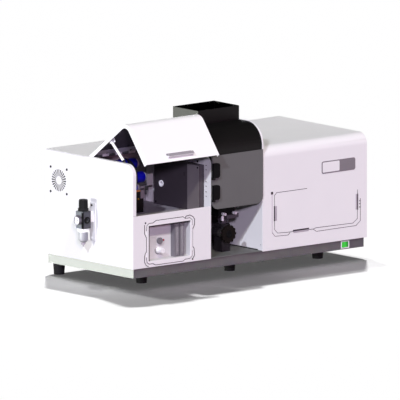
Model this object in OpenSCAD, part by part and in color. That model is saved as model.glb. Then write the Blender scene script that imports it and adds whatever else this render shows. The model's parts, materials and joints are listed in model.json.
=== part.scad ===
// Bench flame absorption spectrometer: lamp housing, burner bay and spectrometer housing on one base.
// Sizes are millimetres. X runs along the width, Y from front to back and Z up from the bench.

/* [Overall] */
// Width over the two housings and the bay
body_w = 1020; // [990:1:1080]
// Depth from the front panels to the rear panel
body_d = 450; // [440:1:500]
// Height of the housings above the base tray
housing_h = 351; // [345:1:380]
// Thickness of the folded steel sheet
sheet = 1.5; // [1:0.1:2]
// Outside radius of the bend between front and top
bend_r = 37; // [30:1:40]
// Gap between pieces that sit against each other
seam = 0.3; // [0.2:0.05:0.5]

/* [Base] */
// Height of the base tray
base_h = 32; // [30:1:45]
// Setback of the base tray behind the housings
base_inset = 7.5; // [5:0.5:12]
// Thickness of the base tray and deck plate
base_t = 3; // [2:0.5:4]
// Height of the rubber feet
foot_h = 38; // [30:1:45]
// Diameter of a foot at the tray
foot_top_d = 41; // [38:1:46]
// Diameter of a foot at the bench
foot_low_d = 35; // [28:1:38]
// Outer front feet, distance from each end
foot_front_x = 126; // [60:1:200]
// Front feet, distance from the front
foot_front_y = 105; // [40:1:150]
// Outer rear feet, distance from each end
foot_rear_x = 33; // [30:1:120]
// Rear feet, distance from the rear
foot_rear_y = 33; // [30:1:80]

/* [Power switch] */
// Width of the switch bezel
bezel_w = 35; // [32:0.5:40]
// Height of the switch bezel
bezel_h = 25; // [22:0.5:27]
// Rim of the bezel round the rocker
bezel_rim = 3; // [2:0.5:4]
// Middle of the switch, distance from the right end
switch_x = 90; // [60:1:200]
// Tilt of the rocker to either side
rocker_tilt = 8; // [5:0.5:10]

/* [Lamp housing] */
// Width of the lamp housing
left_w = 340; // [330:1:360]
// Height of the lower front panel
panel_h = 177.5; // [170:0.5:190]
// Width of the rim left of the lid
rim_w = 13.5; // [12:0.5:15]
// Height of the lamp room floor above the base tray
floor_h = 155; // [150:1:160]
// Gap between the partition behind the lamps and the fan
partition_gap = 4; // [2:0.5:8]
// Distance from the optical axis to that partition
axis_gap = 102; // [98:1:106]
// Depth of the optical axis below the housing top
axis_drop = 123; // [121:1:126]
// Radius of the light beam openings
beam_r = 7; // [5:0.5:9]
// Thickness of the optics cover in front of the inner wall
optics_w = 20; // [16:1:24]
// How far the optics cover runs behind the beam
optics_past = 38; // [30:1:45]
// Gap above the optics cover
optics_gap = 38; // [30:1:46]

/* [Lamp lid] */
// Opening angle of the lid as it stands
lid_open = 37; // [25:1:45]
// Distance from the front to the lid hinge
hinge_y = 240; // [235:1:245]
// Depth of the end flanges of the lid
lid_flange = 13; // [10:1:18]
// Gap between the side walls and the panels over them
panel_gap = 0.5; // [0.4:0.1:1]
// Gap at each end of the lid
lid_side_gap = 1; // [0.8:0.1:2]
// Outside radius of the hinge knuckles
knuckle_r = 4; // [3.5:0.5:5]
// Radius of the hinge pin
hinge_pin_r = 2; // [1.5:0.25:2.5]
// Width of each hinge leaf
leaf_w = 35; // [25:1:40]
// Number of hinge knuckles
knuckles = 9; // [5:2:13]
// Length of the finger pull
pull_w = 109; // [90:1:130]
// Height of the finger pull
pull_h = 17; // [14:1:20]
// Reach of the finger pull in front of the lid
pull_d = 12; // [10:1:14]
// Radial clearance of pins that turn
running = 0.05; // [0.02:0.01:0.08]

/* [Lid strut] */
// Distance of the strut from the left side
strut_x = 24; // [22:0.5:27]
// Lower strut pivot, distance from the front
strut_foot_y = 23; // [20:1:26]
// Lower strut pivot, distance below the housing top
strut_foot_drop = 46; // [42:1:50]
// Upper strut pivot, distance from the front with the lid closed
strut_head_y = 120; // [116:1:124]
// Upper strut pivot, distance below the lid sheet
strut_head_drop = 13; // [12:0.5:16]
// Radius of the strut cylinder
strut_r = 4.75; // [4:0.25:5]
// Radius of the strut rod
strut_rod_r = 3; // [2.5:0.25:3.25]
// Length of the strut cylinder from its pivot
strut_cyl_l = 86; // [82:1:88]
// Length of the strut rod from its pivot
strut_rod_l = 84; // [82:1:86]

/* [Lamp turret] */
// Number of lamps
lamps = 4; // [4:1:6]
// Radius of the circle of lamps
lamp_pitch = 40; // [38:0.5:42]
// Radius of a lamp
lamp_r = 18.5; // [16:0.5:19]
// Length of a lamp in front of the rear disc
lamp_l = 117; // [105:1:130]
// Length of a lamp base
lamp_base_l = 24; // [18:1:28]
// Rear disc of the turret, distance from the left side
turret_x = 82; // [80:1:90]
// Radius of the turret discs
disc_r = 62; // [61:1:64]
// Thickness of the turret discs and stand
disc_t = 5; // [4:0.5:6]
// Radius of the turret shaft
turret_shaft_r = 6; // [5:0.5:7]

/* [Gas panel] */
// Left edge of the recess
recess_x = 67; // [60:1:75]
// Width of the recess
recess_w = 182; // [176:1:200]
// Bottom of the recess above the base tray
recess_z = 21; // [16:1:24]
// Height of the recess
recess_h = 118.5; // [110:0.5:122]
// Depth of the recess
recess_d = 33; // [28:1:40]
// Width and depth of a flowmeter block
meter_w = 20; // [18:0.5:21]
// Gap between the flowmeter blocks
meter_gap = 2.6; // [2:0.1:4]
// Right flowmeter block, distance from the right recess wall
meter_edge = 14.4; // [10:0.1:20]
// Radius of a flowmeter bore
meter_bore_r = 5.3; // [4.5:0.1:6]
// Radius of the ignition button
button_r = 11; // [9:0.5:12]
// Travel of the ignition button
button_travel = 3; // [2:0.5:4]
// Ignition button, distance from the left recess wall
button_x = 74; // [60:1:80]
// Ignition button, height above the recess floor
button_z = 58; // [50:1:65]
// Radius of the gas knob
knob_r = 11; // [9:0.5:12]
// Length of the gas knob
knob_l = 25; // [18:1:26]
// Gas knob, distance from the left recess wall
knob_x = 70; // [60:1:80]
// Gas knob, height above the recess floor
knob_z = 27; // [22:1:30]

/* [Fan] */
// Side of the square fan frame
fan_side = 92; // [80:1:92]
// Depth of the fan frame
fan_depth = 25; // [20:1:30]
// Fan middle, distance from the rear
fan_y = 70; // [64:1:72]
// Fan middle, depth below the housing top
fan_drop = 98; // [80:1:120]
// Inner radius of the fan slots
grille_r0 = 14; // [12:0.5:18]
// Outer radius of the fan slots
grille_r1 = 37; // [30:0.5:38]
// Number of fan slots
grille_slots = 24; // [18:1:26]
// Number of fan blades
fan_blades = 7; // [5:1:9]

/* [Air regulator] */
// Gap between the regulator and the housing side
reg_gap = 22.5; // [18:0.5:26]
// Width of the regulator body
reg_w = 35; // [32:0.5:40]
// Depth of the regulator body
reg_d = 36; // [34:0.5:42]
// Height of the regulator body
reg_h = 58; // [50:1:64]
// Regulator middle, distance from the front
reg_y = 208; // [190:1:230]
// Underside of the regulator body above the base tray
reg_z = 118; // [110:1:130]
// Radius of the regulator knob
reg_knob_r = 15; // [12:0.5:16]
// Height of the regulator knob
reg_knob_h = 30; // [24:1:36]
// Radius of the pressure gauge
gauge_r = 14; // [12:0.5:16]
// Length of the pressure gauge
gauge_l = 12.5; // [10:0.5:15]
// Radius of the filter bowl
bowl_r = 16.5; // [15:0.5:17]
// Height of the filter bowl
bowl_h = 46; // [40:1:52]
// Radius of the air inlet thread
port_r = 5.7; // [5:0.1:6.5]
// Length of the air inlet thread
port_l = 12; // [10:1:14]

/* [Burner bay] */
// Width of the burner bay
bay_w = 225; // [215:1:235]
// Rise of the hood above the housings
hood_rise = 81; // [75:1:90]
// Radius of the hood front
hood_r = 74; // [60:1:80]
// Distance from the front to the back of the hood
hood_back = 264; // [262:1:275]
// Depth of the hood skirt between the housings
hood_skirt = 5; // [4:0.5:8]
// Reach of hood and door in front of the panels
door_proud = 4; // [4:0.5:5]
// Thickness of the flame door
door_t = 3; // [2:0.5:3]
// Height of the flame door
door_h = 180.5; // [170:0.5:190]
// Radius of the lower door corners
door_r = 26; // [15:1:35]
// Chimney left edge, distance from the lamp housing
chimney_x = 39; // [30:1:40]
// Chimney width
chimney_w = 180; // [160:1:182]
// Chimney front edge, distance from the front
chimney_y = 113; // [100:1:118]
// Chimney depth
chimney_d = 128; // [110:1:130]
// Chimney height above the hood
chimney_h = 47; // [40:1:80]
// Wall of the chimney
chimney_t = 2; // [1.5:0.5:3]
// Height of a door hinge
door_hinge_h = 49; // [40:1:52]
// Width of a door hinge
door_hinge_w = 28; // [24:1:32]
// Radius of the door hinge pins
door_pin_r = 2; // [1.5:0.25:2.5]

/* [Burner] */
// Burner middle, distance from the lamp housing
burner_x = 106; // [100:1:112]
// Length of the burner head
burner_l = 110; // [80:1:120]
// Top of the burner below the optical axis
burner_drop = 10; // [8:0.5:14]
// Radius of the spray chamber
chamber_r = 28; // [24:1:30]
// Radius of the handwheel
wheel_r = 30.5; // [26:0.5:34]
// Thickness of the handwheel
wheel_t = 8; // [7:1:12]
// Height of the handwheel as a share of the height of the burner shelf
wheel_share = 0.5862; // [0.55:0.0001:0.6]
// Teeth of the lifting pinion
pinion_teeth = 12; // [12:1:12]
// Gear module of pinion and rack
gear_module = 1.5; // [1.5:0.1:1.6]

/* [Rear and spectrometer] */
// Reach of the gas inlets behind the rear panel
inlet_l = 35; // [30:1:45]
// Radius of a gas inlet stub
inlet_r = 4; // [3:0.25:5]
// Distance between the gas inlets
inlet_gap = 50; // [40:1:70]
// Top of the optical bed below the optical axis
bed_drop = 46; // [44:1:60]
// Thickness of the optical bed
bed_t = 12; // [8:1:16]
// Radius of the grating table
table_r = 30; // [24:1:34]

/* [Hidden] */
$fn = 64;
bend_steps = 16;
eps = 0.01;

// Levels and datum planes
tray_z = foot_h;
deck_z = foot_h + base_h;
deck_top = deck_z + base_t;
top_z = deck_z + housing_h;
rear_in = body_d - sheet;
bay_x0 = left_w;
bay_x1 = left_w + bay_w;
optic_z = top_z - axis_drop;
partition_y = body_d - fan_y - fan_side / 2 - partition_gap;
axis_y = partition_y - axis_gap;
panel_top = deck_z + panel_h;
floor_z = deck_z + floor_h;
wall_x = left_w - sheet;

// Lamp lid
panel_recess = sheet + panel_gap;
lid_x0 = rim_w + lid_side_gap;
ledge_w = 6.5;
lid_x1 = left_w - ledge_w - lid_side_gap;
lid_low = panel_top + 2;
lid_back = hinge_y - 2;
hinge_z = top_z - sheet - knuckle_r;
leaf_t = 1.5;
leaf_x0 = 40;
leaf_x1 = left_w - 42;
knuckle_l = (leaf_x1 - leaf_x0) / knuckles;
pull_z = lid_low + 13;
pull_x = left_w / 2 - 2;

// Strut pivots in the YZ plane, with the lid closed and open
function about_hinge(p, a) = [
    hinge_y + (p[0] - hinge_y) * cos(a) - (p[1] - hinge_z) * sin(a),
    hinge_z + (p[0] - hinge_y) * sin(a) + (p[1] - hinge_z) * cos(a)
];
strut_foot = [strut_foot_y, top_z - strut_foot_drop];
strut_head_shut = [strut_head_y, top_z - sheet - strut_head_drop];
strut_head = about_hinge(strut_head_shut, -lid_open);
strut_angle = atan2(strut_head[1] - strut_foot[1], strut_head[0] - strut_foot[0]);
strut_len = norm(strut_head - strut_foot);
strut_eye_r = strut_rod_r + 3;
strut_eye_w = 8;
strut_stud_r = 2.5;

// Lamp turret
turret_y = axis_y;
turret_z = optic_z + lamp_pitch;
disc_gap = 75;
stand_x = 30;
stand_half = 30;
lamp_nose = 9;
motor_half = 23;
motor_l = 24;
web_reach = 98;
web_x1 = turret_x + web_reach;
web_y = turret_y - disc_r - 8;
bearing_r = turret_shaft_r + 5;

// Gas panel
recess_x1 = recess_x + recess_w;
recess_z0 = deck_z + recess_z;
recess_z1 = recess_z0 + recess_h;
meter_x1 = recess_x1 - meter_edge - meter_w;
meter_x0 = meter_x1 - meter_gap - meter_w;
meter_y = recess_d - meter_w / 2;
knob_spindle_r = 3;
knob_flange = 7;
float_h = 12;
float_r = meter_bore_r - 0.3;
meter_end = 10;

// Fan
fan_cy = body_d - fan_y;
fan_cz = top_z - fan_drop;
fan_pin_r = 2.5;
fan_hub_r = 16;

// Air regulator, whose middle stands left of the housing
reg_x = -reg_gap - reg_w / 2;
reg_low = deck_z + reg_z;
reg_top = reg_low + reg_h;
reg_left = -reg_gap - reg_w;
gauge_z = reg_low + reg_h / 2;
drain_r = 3;
spindle_r = 4;
plate_t = 3;
plate_half = 17;
plate_below = 45;
plate_above = 24;

// Burner bay
hood_x0 = bay_x0 + seam;
hood_x1 = bay_x1 - seam;
hood_z0 = top_z - hood_skirt;
hood_top = top_z + hood_rise;
door_x0 = bay_x0 + 1;
door_x1 = bay_x1 - 1;
door_z1 = hood_z0 - 0.5;
door_z0 = door_z1 - door_h;
door_back = -door_proud + door_t;
pivot_x = door_x0 + 4;
pivot_y = -door_proud - 5;
hinge_block_t = 9;
hinge_arm_h = 6;
hinge_end_r = 8;
hinge_lift = 0.5;
door_hinge_up = [33, 107];
door_hinge_z = [door_z0 + door_hinge_up[0], door_z0 + door_hinge_up[1]];

// Burner and its lift
burn_x = bay_x0 + burner_x;
chamber_drop = 67;
neb_r = 7;
neb_l = 20;
capillary_r = 2;
capillary_l = 10;
chamber_z = optic_z - chamber_drop;
head_top = optic_z - burner_drop;
shelf_t = 14;
shelf_z = chamber_z - chamber_r - 3 - shelf_t;
shelf_top = shelf_z + shelf_t;
wheel_cz = deck_z + wheel_share * (shelf_z - deck_z);
pitch_r = gear_module * pinion_teeth / 2;
tooth_pitch = PI * gear_module;
addendum = 0.6 * gear_module;
tooth_w = 0.34 * tooth_pitch;
shaft_r = 5;
bar_w = 20;
bar_x = burn_x + pitch_r + 2;
bar_y = 82;
column_y0 = bar_y - 10;
column_y1 = bar_y + bar_w + 10;
column_top = wheel_cz + 27;
bar_low = wheel_cz - 30;
rack_w = 12;
rack_y = bar_y + 4;
wheel_stand = 40.5;
wheel_y = column_y0 - wheel_stand;
wheel_web = 3;
rack_teeth = 10;
shelf_lip = 22;
shelf_w = 50;
shelf_x = bar_x - 4;
nut_places = [-17.5, 28.5];
clamp_half = 35;
clamp_t = 40;
clamp_y = column_y0 - shelf_lip - 5;
nut_r = 5;
nut_l = 15;
neck_r = 12;
neck_top = chamber_z + chamber_r + 9;
head_half = 11;
head_h = 20;
slot_half = 0.3;

// Rear and spectrometer
socket_edge = 110;
socket_x = body_w - socket_edge;
socket_z = deck_z + 45;
socket_w = 50;
socket_h = 28;
board_gap = 25;
board_stand = 12;
board_t = 2;
board_h = 110;
board_edge = 60;
stand_in = 8;
end_vents = 8;
rear_vents = 9;
vent_pitch = 14;
vent_h = 6;
vent_l = 120;
vent_edge = 80;
vent_rise = 60;
vent_side = 210;
vent_x1 = body_w - vent_side;
inlet_x = 70;
inlet_hex = 8;
inlet_z = deck_z + 60;
bed_z = optic_z - bed_drop;
bed_x0 = bay_x1 + 40;
bed_x1 = body_w - 50;
bed_front = 130;
bed_rear = 160;
leg_in = 30;
leg_r = 15;
mirror_in = 12;
mirror_t = 18;
mirror_half = 40;
slit_in = 5;
slit_t = 8;
slit_side = 30;
detector_y = 85;
detector_w = 70;
spigot_r = 5;
table_t = 8;
table_in = 110;
table_back = 60;
table_x = bed_x0 + table_in;
table_y = axis_y + table_back;
grating_t = 10;
grating_w = 50;
grating_rest = 20;

// Shift that puts the origin under the middle of the whole instrument
pull_low = about_hinge([-pull_d, pull_z], -lid_open);
frame_x = (body_w + reg_left - gauge_l) / 2;
frame_y = (body_d + inlet_l + pull_low[0]) / 2;

// Shared shapes
module placed() translate([-frame_x, -frame_y, 0]) children();

module block(x0, x1, y0, y1, z0, z1) translate([x0, y0, z0]) cube([x1 - x0, y1 - y0, z1 - z0]);

module along_x(x0, x1) translate([x0, 0, 0]) rotate([90, 0, 90]) linear_extrude(x1 - x0) children();

module rod_x(x0, x1, y, z, r) translate([x0, y, z]) rotate([0, 90, 0]) cylinder(h = x1 - x0, r = r);

module rod_y(y0, y1, x, z, r) translate([x, y0, z]) rotate([-90, 0, 0]) cylinder(h = y1 - y0, r = r);

module rod_z(z0, z1, x, y, r) translate([x, y, z0]) cylinder(h = z1 - z0, r = r);

module opened() {
    translate([0, hinge_y, hinge_z])
        rotate([-lid_open, 0, 0])
            translate([0, -hinge_y, -hinge_z]) children();
}

function reversed(list) = [for (i = [len(list) - 1 : -1 : 0]) list[i]];

function arc(y, z, r, a0, a1) = [
    for (i = [0 : bend_steps]) let (a = a0 + (a1 - a0) * i / bend_steps) [y + r * cos(a), z + r * sin(a)]
];

// Path up the front, round the bend and back along the top
function front_path(y0, z0, y1, z1, r) = concat([[y0, z0]], arc(y0 + r, z1 - r, r, 180, 90), [[y1, z1]]);

// Sheet of thickness t folded along that path
function folded(y0, z0, y1, z1, r, t) = concat(
    front_path(y0, z0, y1, z1, r),
    reversed(front_path(y0 + t, z0, y1, z1 - t, r - t))
);

// Base
module foot(x, y) translate([x, y, 0]) cylinder(h = foot_h, d1 = foot_low_d, d2 = foot_top_d);

module rubber_feet() color("#15151a") {
    for (x = [foot_front_x, body_w / 2, body_w - foot_front_x]) foot(x, foot_front_y);
    for (x = [foot_rear_x, body_w / 2, body_w - foot_rear_x]) foot(x, body_d - foot_rear_y);
}

switch_cx = body_w - switch_x;
switch_cz = tray_z + base_h / 2;
switch_depth = 16;
bezel_t = 2;
bezel_lip = 2;
bezel_fit = 0.2;
rocker_t = 7;
rocker_pin_r = 1.5;
rocker_w = bezel_w - 2 * bezel_rim - 3;
rocker_h = bezel_h - 2 * bezel_rim - 1;
rocker_y = base_inset + 6;

// Upright block behind the bezel outline, drawn in from it all round
module switch_block(inset, y0, y1)
    block(switch_cx - bezel_w / 2 + inset, switch_cx + bezel_w / 2 - inset, y0, y1,
        switch_cz - bezel_h / 2 + inset, switch_cz + bezel_h / 2 - inset);

module base_tray() color("#5a575b") difference() {
    block(base_inset, body_w - base_inset, base_inset, body_d - base_inset, tray_z, deck_z);
    block(base_inset + base_t, body_w - base_inset - base_t, base_inset + base_t,
        body_d - base_inset - base_t, tray_z + base_t, deck_z + 1);
    switch_block(bezel_lip, 0, base_inset + base_t + 1);
}

module deck_plate() color("#6a676b")
    block(sheet, body_w - sheet, sheet, rear_in, deck_z, deck_top);

module switch_bezel() color("#f2f2f0") difference() {
    union() {
        switch_block(0, base_inset - bezel_t, base_inset);
        switch_block(bezel_lip + bezel_fit, base_inset, base_inset + switch_depth);
    }
    switch_block(bezel_rim, 0, base_inset + switch_depth - bezel_t);
    rod_z(switch_cz - bezel_h / 2 + bezel_lip + 0.5, switch_cz + bezel_h / 2 - bezel_lip - 0.5,
        switch_cx, rocker_y, rocker_pin_r + running);
}

// The rocker turns on two stub pins; as drawn its right half is pressed in
module power_rocker() color("#2fd62f") translate([switch_cx, rocker_y, switch_cz])
    rotate([0, 0, rocker_tilt]) rocker_shape();

module rocker_shape() {
    half = rocker_w / 2;
    rise = half * tan(rocker_tilt);
    translate([0, 0, -rocker_h / 2]) linear_extrude(rocker_h)
        polygon([[-half, -rocker_t - rise], [0, -rocker_t], [half, -rocker_t - rise],
            [half - 2, rocker_pin_r * 2], [-half + 2, rocker_pin_r * 2]]);
    translate([0, 0, -rocker_h / 2 - 0.9]) cylinder(h = rocker_h + 1.8, r = rocker_pin_r);
}

// Lamp housing shell
module fan_slots() {
    slot_in = 2;
    slot_out = 5.2;
    for (i = [0 : grille_slots - 1])
        translate([0, fan_cy, fan_cz]) rotate([360 / grille_slots * i, 0, 0])
            along_x(-1, sheet + 1) polygon([[-slot_in / 2, grille_r0], [slot_in / 2, grille_r0],
                [slot_out / 2, grille_r1], [-slot_out / 2, grille_r1]]);
}

// Side wall outline, drawn back behind the front panel and the top panel
function side_outline(low) = concat(
    [[panel_recess, low], [panel_recess, panel_top + 1], [0, panel_top + 1]],
    arc(bend_r, top_z - bend_r, bend_r, 180, 90),
    [[hinge_y + 2, top_z], [hinge_y + 2, top_z - panel_recess], [rear_in, top_z - panel_recess], [rear_in, low]]
);

module left_side_panel() color("#f3eff5") {
    difference() {
        along_x(0, sheet) polygon(side_outline(deck_z));
        fan_slots();
    }
    along_x(0, rim_w) polygon(folded(0, panel_top + 1, hinge_y + 2, top_z, bend_r, sheet));
    rod_x(sheet - eps, strut_x + strut_eye_w / 2 + 1, strut_foot[0], strut_foot[1], strut_stud_r);
}

module left_inner_wall() color("#eceaf2") difference() {
    union() {
        along_x(wall_x, left_w) polygon(side_outline(deck_top));
        block(left_w - ledge_w, left_w, bend_r, hinge_y + 2, top_z - sheet, top_z);
    }
    rod_x(wall_x - 1, left_w + 1, axis_y, optic_z, beam_r);
}

module left_top_panel() color("#f3eff5")
    block(0, left_w, hinge_y + 3, rear_in, top_z - sheet, top_z);

module left_front_panel() color("#f3eff5") difference() {
    block(0, left_w, 0, sheet, deck_z, panel_top);
    block(recess_x, recess_x1, -1, sheet + 1, recess_z0, recess_z1);
}

// Gas panel
module gas_recess_tray() color("#efe9ef") difference() {
    block(recess_x - sheet, recess_x1 + sheet, sheet, recess_d + sheet, recess_z0 - sheet, recess_z1 + sheet);
    block(recess_x, recess_x1, 0, recess_d, recess_z0, recess_z1);
    rod_y(recess_d - 1, recess_d + sheet + 1, recess_x + button_x, recess_z0 + button_z, button_r - 1);
    rod_y(recess_d - 1, recess_d + sheet + 1, recess_x + knob_x, recess_z0 + knob_z,
        knob_spindle_r + running);
}

module flowmeter_block(x) difference() {
    block(x, x + meter_w, recess_d - meter_w, recess_d, recess_z0, recess_z1);
    rod_z(recess_z0 + meter_end, recess_z1 - meter_end, x + meter_w / 2, meter_y, meter_bore_r);
    block(x + meter_w / 2 - 2.5, x + meter_w / 2 + 2.5, recess_d - meter_w - 1, meter_y,
        recess_z0 + meter_end + 4, recess_z1 - meter_end - 4);
}

module flowmeter_blocks() color("#6c696d") {
    flowmeter_block(meter_x0);
    flowmeter_block(meter_x1);
}

module meter_float(x) {
    rod_z(recess_z0 + meter_end, recess_z0 + meter_end + float_h / 2, x + meter_w / 2, meter_y, float_r * 0.7);
    rod_z(recess_z0 + meter_end + float_h / 2 - eps, recess_z0 + meter_end + float_h, x + meter_w / 2, meter_y,
        float_r);
}

module fuel_float() color("#c9ccd2") meter_float(meter_x0);

module air_float() color("#c9ccd2") meter_float(meter_x1);

module gas_knob() color("#f6f4f6") translate([recess_x + knob_x, recess_d, recess_z0 + knob_z]) {
    grip = knob_flange - 1;
    rotate([90, 0, 0]) translate([0, 0, seam]) cylinder(h = knob_flange, r = knob_r);
    rotate([90, 0, 0]) translate([0, 0, grip]) cylinder(h = knob_l - grip, r1 = knob_r - 1, r2 = knob_r - 2);
    block(-1.2, 1.2, -knob_l - 1, -grip, 0, knob_r - 0.8);
    rod_y(-2, 12, 0, 0, knob_spindle_r);
}

module ignition_button() color("#4a4d4f") translate([recess_x + button_x, recess_d, recess_z0 + button_z]) {
    rod_y(-button_travel - 4, -button_travel - seam, 0, 0, button_r);
    rod_y(-button_travel - 1, 8, 0, 0, button_r - 1 - running);
}

// Lamp room
module lamp_room_liner() color("#8d8990") {
    block(sheet + seam, wall_x - seam, sheet + seam, partition_y + sheet, floor_z - sheet, floor_z);
    block(sheet + seam, wall_x - seam, partition_y, partition_y + sheet, floor_z - eps, top_z - sheet - 2);
}

optics_x = wall_x - optics_w;
optics_y = 34;
optics_y1 = axis_y + optics_past;
cover_t = 2;
ring_r = beam_r + 2;

module optics_housing() color("#57535b") difference() {
    block(optics_x, wall_x, optics_y, optics_y1, floor_z, top_z - optics_gap);
    block(optics_x + cover_t, wall_x + 1, optics_y + cover_t, optics_y1 - cover_t,
        floor_z + cover_t, top_z - optics_gap - cover_t);
    rod_x(optics_x - 1, optics_x + 3, axis_y, optic_z, ring_r + running);
}

module aperture_ring() color("#f4f2f4") difference() {
    union() {
        rod_x(optics_x - 3, optics_x, axis_y, optic_z, ring_r + 2);
        rod_x(optics_x - eps, optics_x + 8, axis_y, optic_z, ring_r);
    }
    rod_x(optics_x - 4, optics_x + 9, axis_y, optic_z, beam_r);
}

// Lid hinge: alternate knuckles on the two leaves, the pin held by the fixed leaf
module knuckle(i, r)
    rod_x(leaf_x0 + i * knuckle_l + seam, leaf_x0 + (i + 1) * knuckle_l - seam, hinge_y, hinge_z, r);

module leaf_neck(i, side) {
    y = side > 0 ? hinge_y : hinge_y - knuckle_r - 1;
    block(leaf_x0 + i * knuckle_l + seam, leaf_x0 + (i + 1) * knuckle_l - seam, y, y + knuckle_r + 1,
        top_z - sheet - leaf_t, top_z - sheet);
}

module hinge_fixed_leaf() color("#b9b4bc") {
    block(leaf_x0, leaf_x1, hinge_y + knuckle_r + 0.6, hinge_y + leaf_w, top_z - sheet - leaf_t, top_z - sheet);
    for (i = [0 : 2 : knuckles - 1]) {
        knuckle(i, knuckle_r);
        leaf_neck(i, 1);
    }
    rod_x(leaf_x0 + seam, leaf_x1 - seam, hinge_y, hinge_z, hinge_pin_r);
}

module lid_hinge_leaf() color("#b9b4bc") opened() {
    block(leaf_x0, leaf_x1, hinge_y - leaf_w, hinge_y - knuckle_r - 0.6, top_z - sheet - leaf_t, top_z - sheet);
    difference() {
        for (i = [1 : 2 : knuckles - 1]) union() {
            knuckle(i, knuckle_r);
            leaf_neck(i, -1);
        }
        rod_x(leaf_x0 - 1, leaf_x1 + 1, hinge_y, hinge_z, hinge_pin_r + running);
    }
}

// Lid: folded sheet with an end flange at each side and a bracket for the strut
bracket_x = strut_x + strut_eye_w / 2 + 2;

module lamp_lid() color("#f6f2f8") opened() {
    along_x(lid_x0, lid_x1) polygon(folded(0, lid_low, lid_back, top_z, bend_r, sheet));
    for (x = [lid_x0, lid_x1 - sheet])
        along_x(x, x + sheet) polygon(folded(0, lid_low, lid_back, top_z, bend_r, lid_flange));
    block(bracket_x, bracket_x + 2, strut_head_y - 11, strut_head_y + 11,
        top_z - sheet - strut_head_drop - 6, top_z - sheet + eps);
}

module lid_handle() color("#e4dfe6") opened() translate([pull_x - pull_w / 2, 0, pull_z]) {
    block(0, pull_w, -2, 0, 0, pull_h);
    block(0, pull_w, -pull_d, -2 + eps, 0, 2);
    block(0, pull_w, -pull_d, -pull_d + 2, 0, pull_h - 6);
    for (x = [0, pull_w - 2]) block(x, x + 2, -pull_d, -2 + eps, 0, pull_h - 6);
}

// Gas strut, drawn along +X from the lower pivot and then turned to its angle
module along_strut() translate([strut_x, strut_foot[0], strut_foot[1]]) rotate([strut_angle, 0, 0]) children();

module strut_rod() color("#e6e6ea") along_strut() difference() {
    union() {
        rod_x(-strut_eye_w / 2, strut_eye_w / 2, 0, 0, strut_eye_r);
        rod_y(0, strut_rod_l, 0, 0, strut_rod_r);
    }
    rod_x(-strut_eye_w, strut_eye_w, 0, 0, strut_stud_r + running);
}

module strut_cylinder() color("#f2f2f2") along_strut() difference() {
    union() {
        rod_x(-strut_eye_w / 2, strut_eye_w / 2, strut_len, 0, strut_eye_r);
        rod_y(strut_len - strut_cyl_l, strut_len, 0, 0, strut_r);
        rod_x(0, bracket_x - strut_x - seam, strut_len, 0, strut_stud_r);
    }
    rod_y(strut_len - strut_cyl_l - 1, strut_len - strut_eye_r - 2, 0, 0, strut_rod_r + running);
}

// Lamp turret
module turret_stand() color("#1b1a1f") difference() {
    union() {
        block(stand_x, web_x1, web_y, turret_y + disc_r, floor_z, floor_z + disc_t);
        block(stand_x, stand_x + disc_t, turret_y - stand_half, turret_y + stand_half,
            floor_z, turret_z + stand_half);
        block(stand_x, web_x1, web_y, web_y + disc_t, floor_z, optic_z);
        block(stand_x - motor_l, stand_x, turret_y - motor_half, turret_y + motor_half,
            turret_z - motor_half, turret_z + motor_half);
        rod_x(stand_x, turret_x - lamp_base_l - 4, turret_y, turret_z, bearing_r);
    }
    rod_x(stand_x - 5, turret_x, turret_y, turret_z, turret_shaft_r + running);
}

function lamp_yz(i) = [
    turret_y + lamp_pitch * sin(360 / lamps * i),
    turret_z - lamp_pitch * cos(360 / lamps * i)
];

module turret_drum() color("#232228") {
    rod_x(stand_x - 4, turret_x + disc_gap + disc_t, turret_y, turret_z, turret_shaft_r);
    rod_x(turret_x, turret_x + disc_t, turret_y, turret_z, disc_r - 14);
    difference() {
        rod_x(turret_x + disc_gap, turret_x + disc_gap + disc_t, turret_y, turret_z, disc_r);
        for (i = [0 : lamps - 1])
            rod_x(turret_x, turret_x + disc_gap + disc_t + 1, lamp_yz(i)[0], lamp_yz(i)[1], lamp_r + 0.2);
    }
}

module lamp_bodies() color("#1b1fe0") for (i = [0 : lamps - 1]) {
    rod_x(turret_x + disc_t, turret_x + lamp_l, lamp_yz(i)[0], lamp_yz(i)[1], lamp_r);
    rod_x(turret_x + lamp_l - eps, turret_x + lamp_l + lamp_nose, lamp_yz(i)[0], lamp_yz(i)[1], lamp_r - 4);
}

module lamp_bases() color("#d98a1e") for (i = [0 : lamps - 1])
    rod_x(turret_x - lamp_base_l, turret_x, lamp_yz(i)[0], lamp_yz(i)[1], lamp_r - 2);

// Cooling fan
module fan_frame() color("#202024") {
    back = sheet + fan_depth;
    difference() {
        block(sheet, back, fan_cy - fan_side / 2, fan_cy + fan_side / 2,
            fan_cz - fan_side / 2, fan_cz + fan_side / 2);
        rod_x(sheet - 1, back + 1, fan_cy, fan_cz, fan_side / 2 - 2.5);
    }
    for (a = [45, 165, 285]) translate([0, fan_cy, fan_cz]) rotate([a, 0, 0])
        block(back - 2.6, back - 0.4, -2, 2, fan_hub_r - 3, fan_side / 2 - 2);
    rod_x(back - 3, back, fan_cy, fan_cz, fan_hub_r);
    rod_x(sheet + 6, back - 3 + eps, fan_cy, fan_cz, fan_pin_r);
}

module fan_rotor() color("#2a2a2f") translate([sheet + 4, fan_cy, fan_cz]) {
    hub_l = fan_depth - 8;
    difference() {
        rod_x(0, hub_l, 0, 0, fan_hub_r);
        rod_x(1.5, hub_l + 1, 0, 0, fan_pin_r + running);
    }
    for (i = [0 : fan_blades - 1]) rotate([360 / fan_blades * i, 0, 0])
        translate([hub_l / 2, 0, fan_hub_r - 2]) rotate([0, 0, 35])
            block(-7, 7, -0.8, 0.8, 0, fan_side / 2 - fan_hub_r - 3);
}

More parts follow.
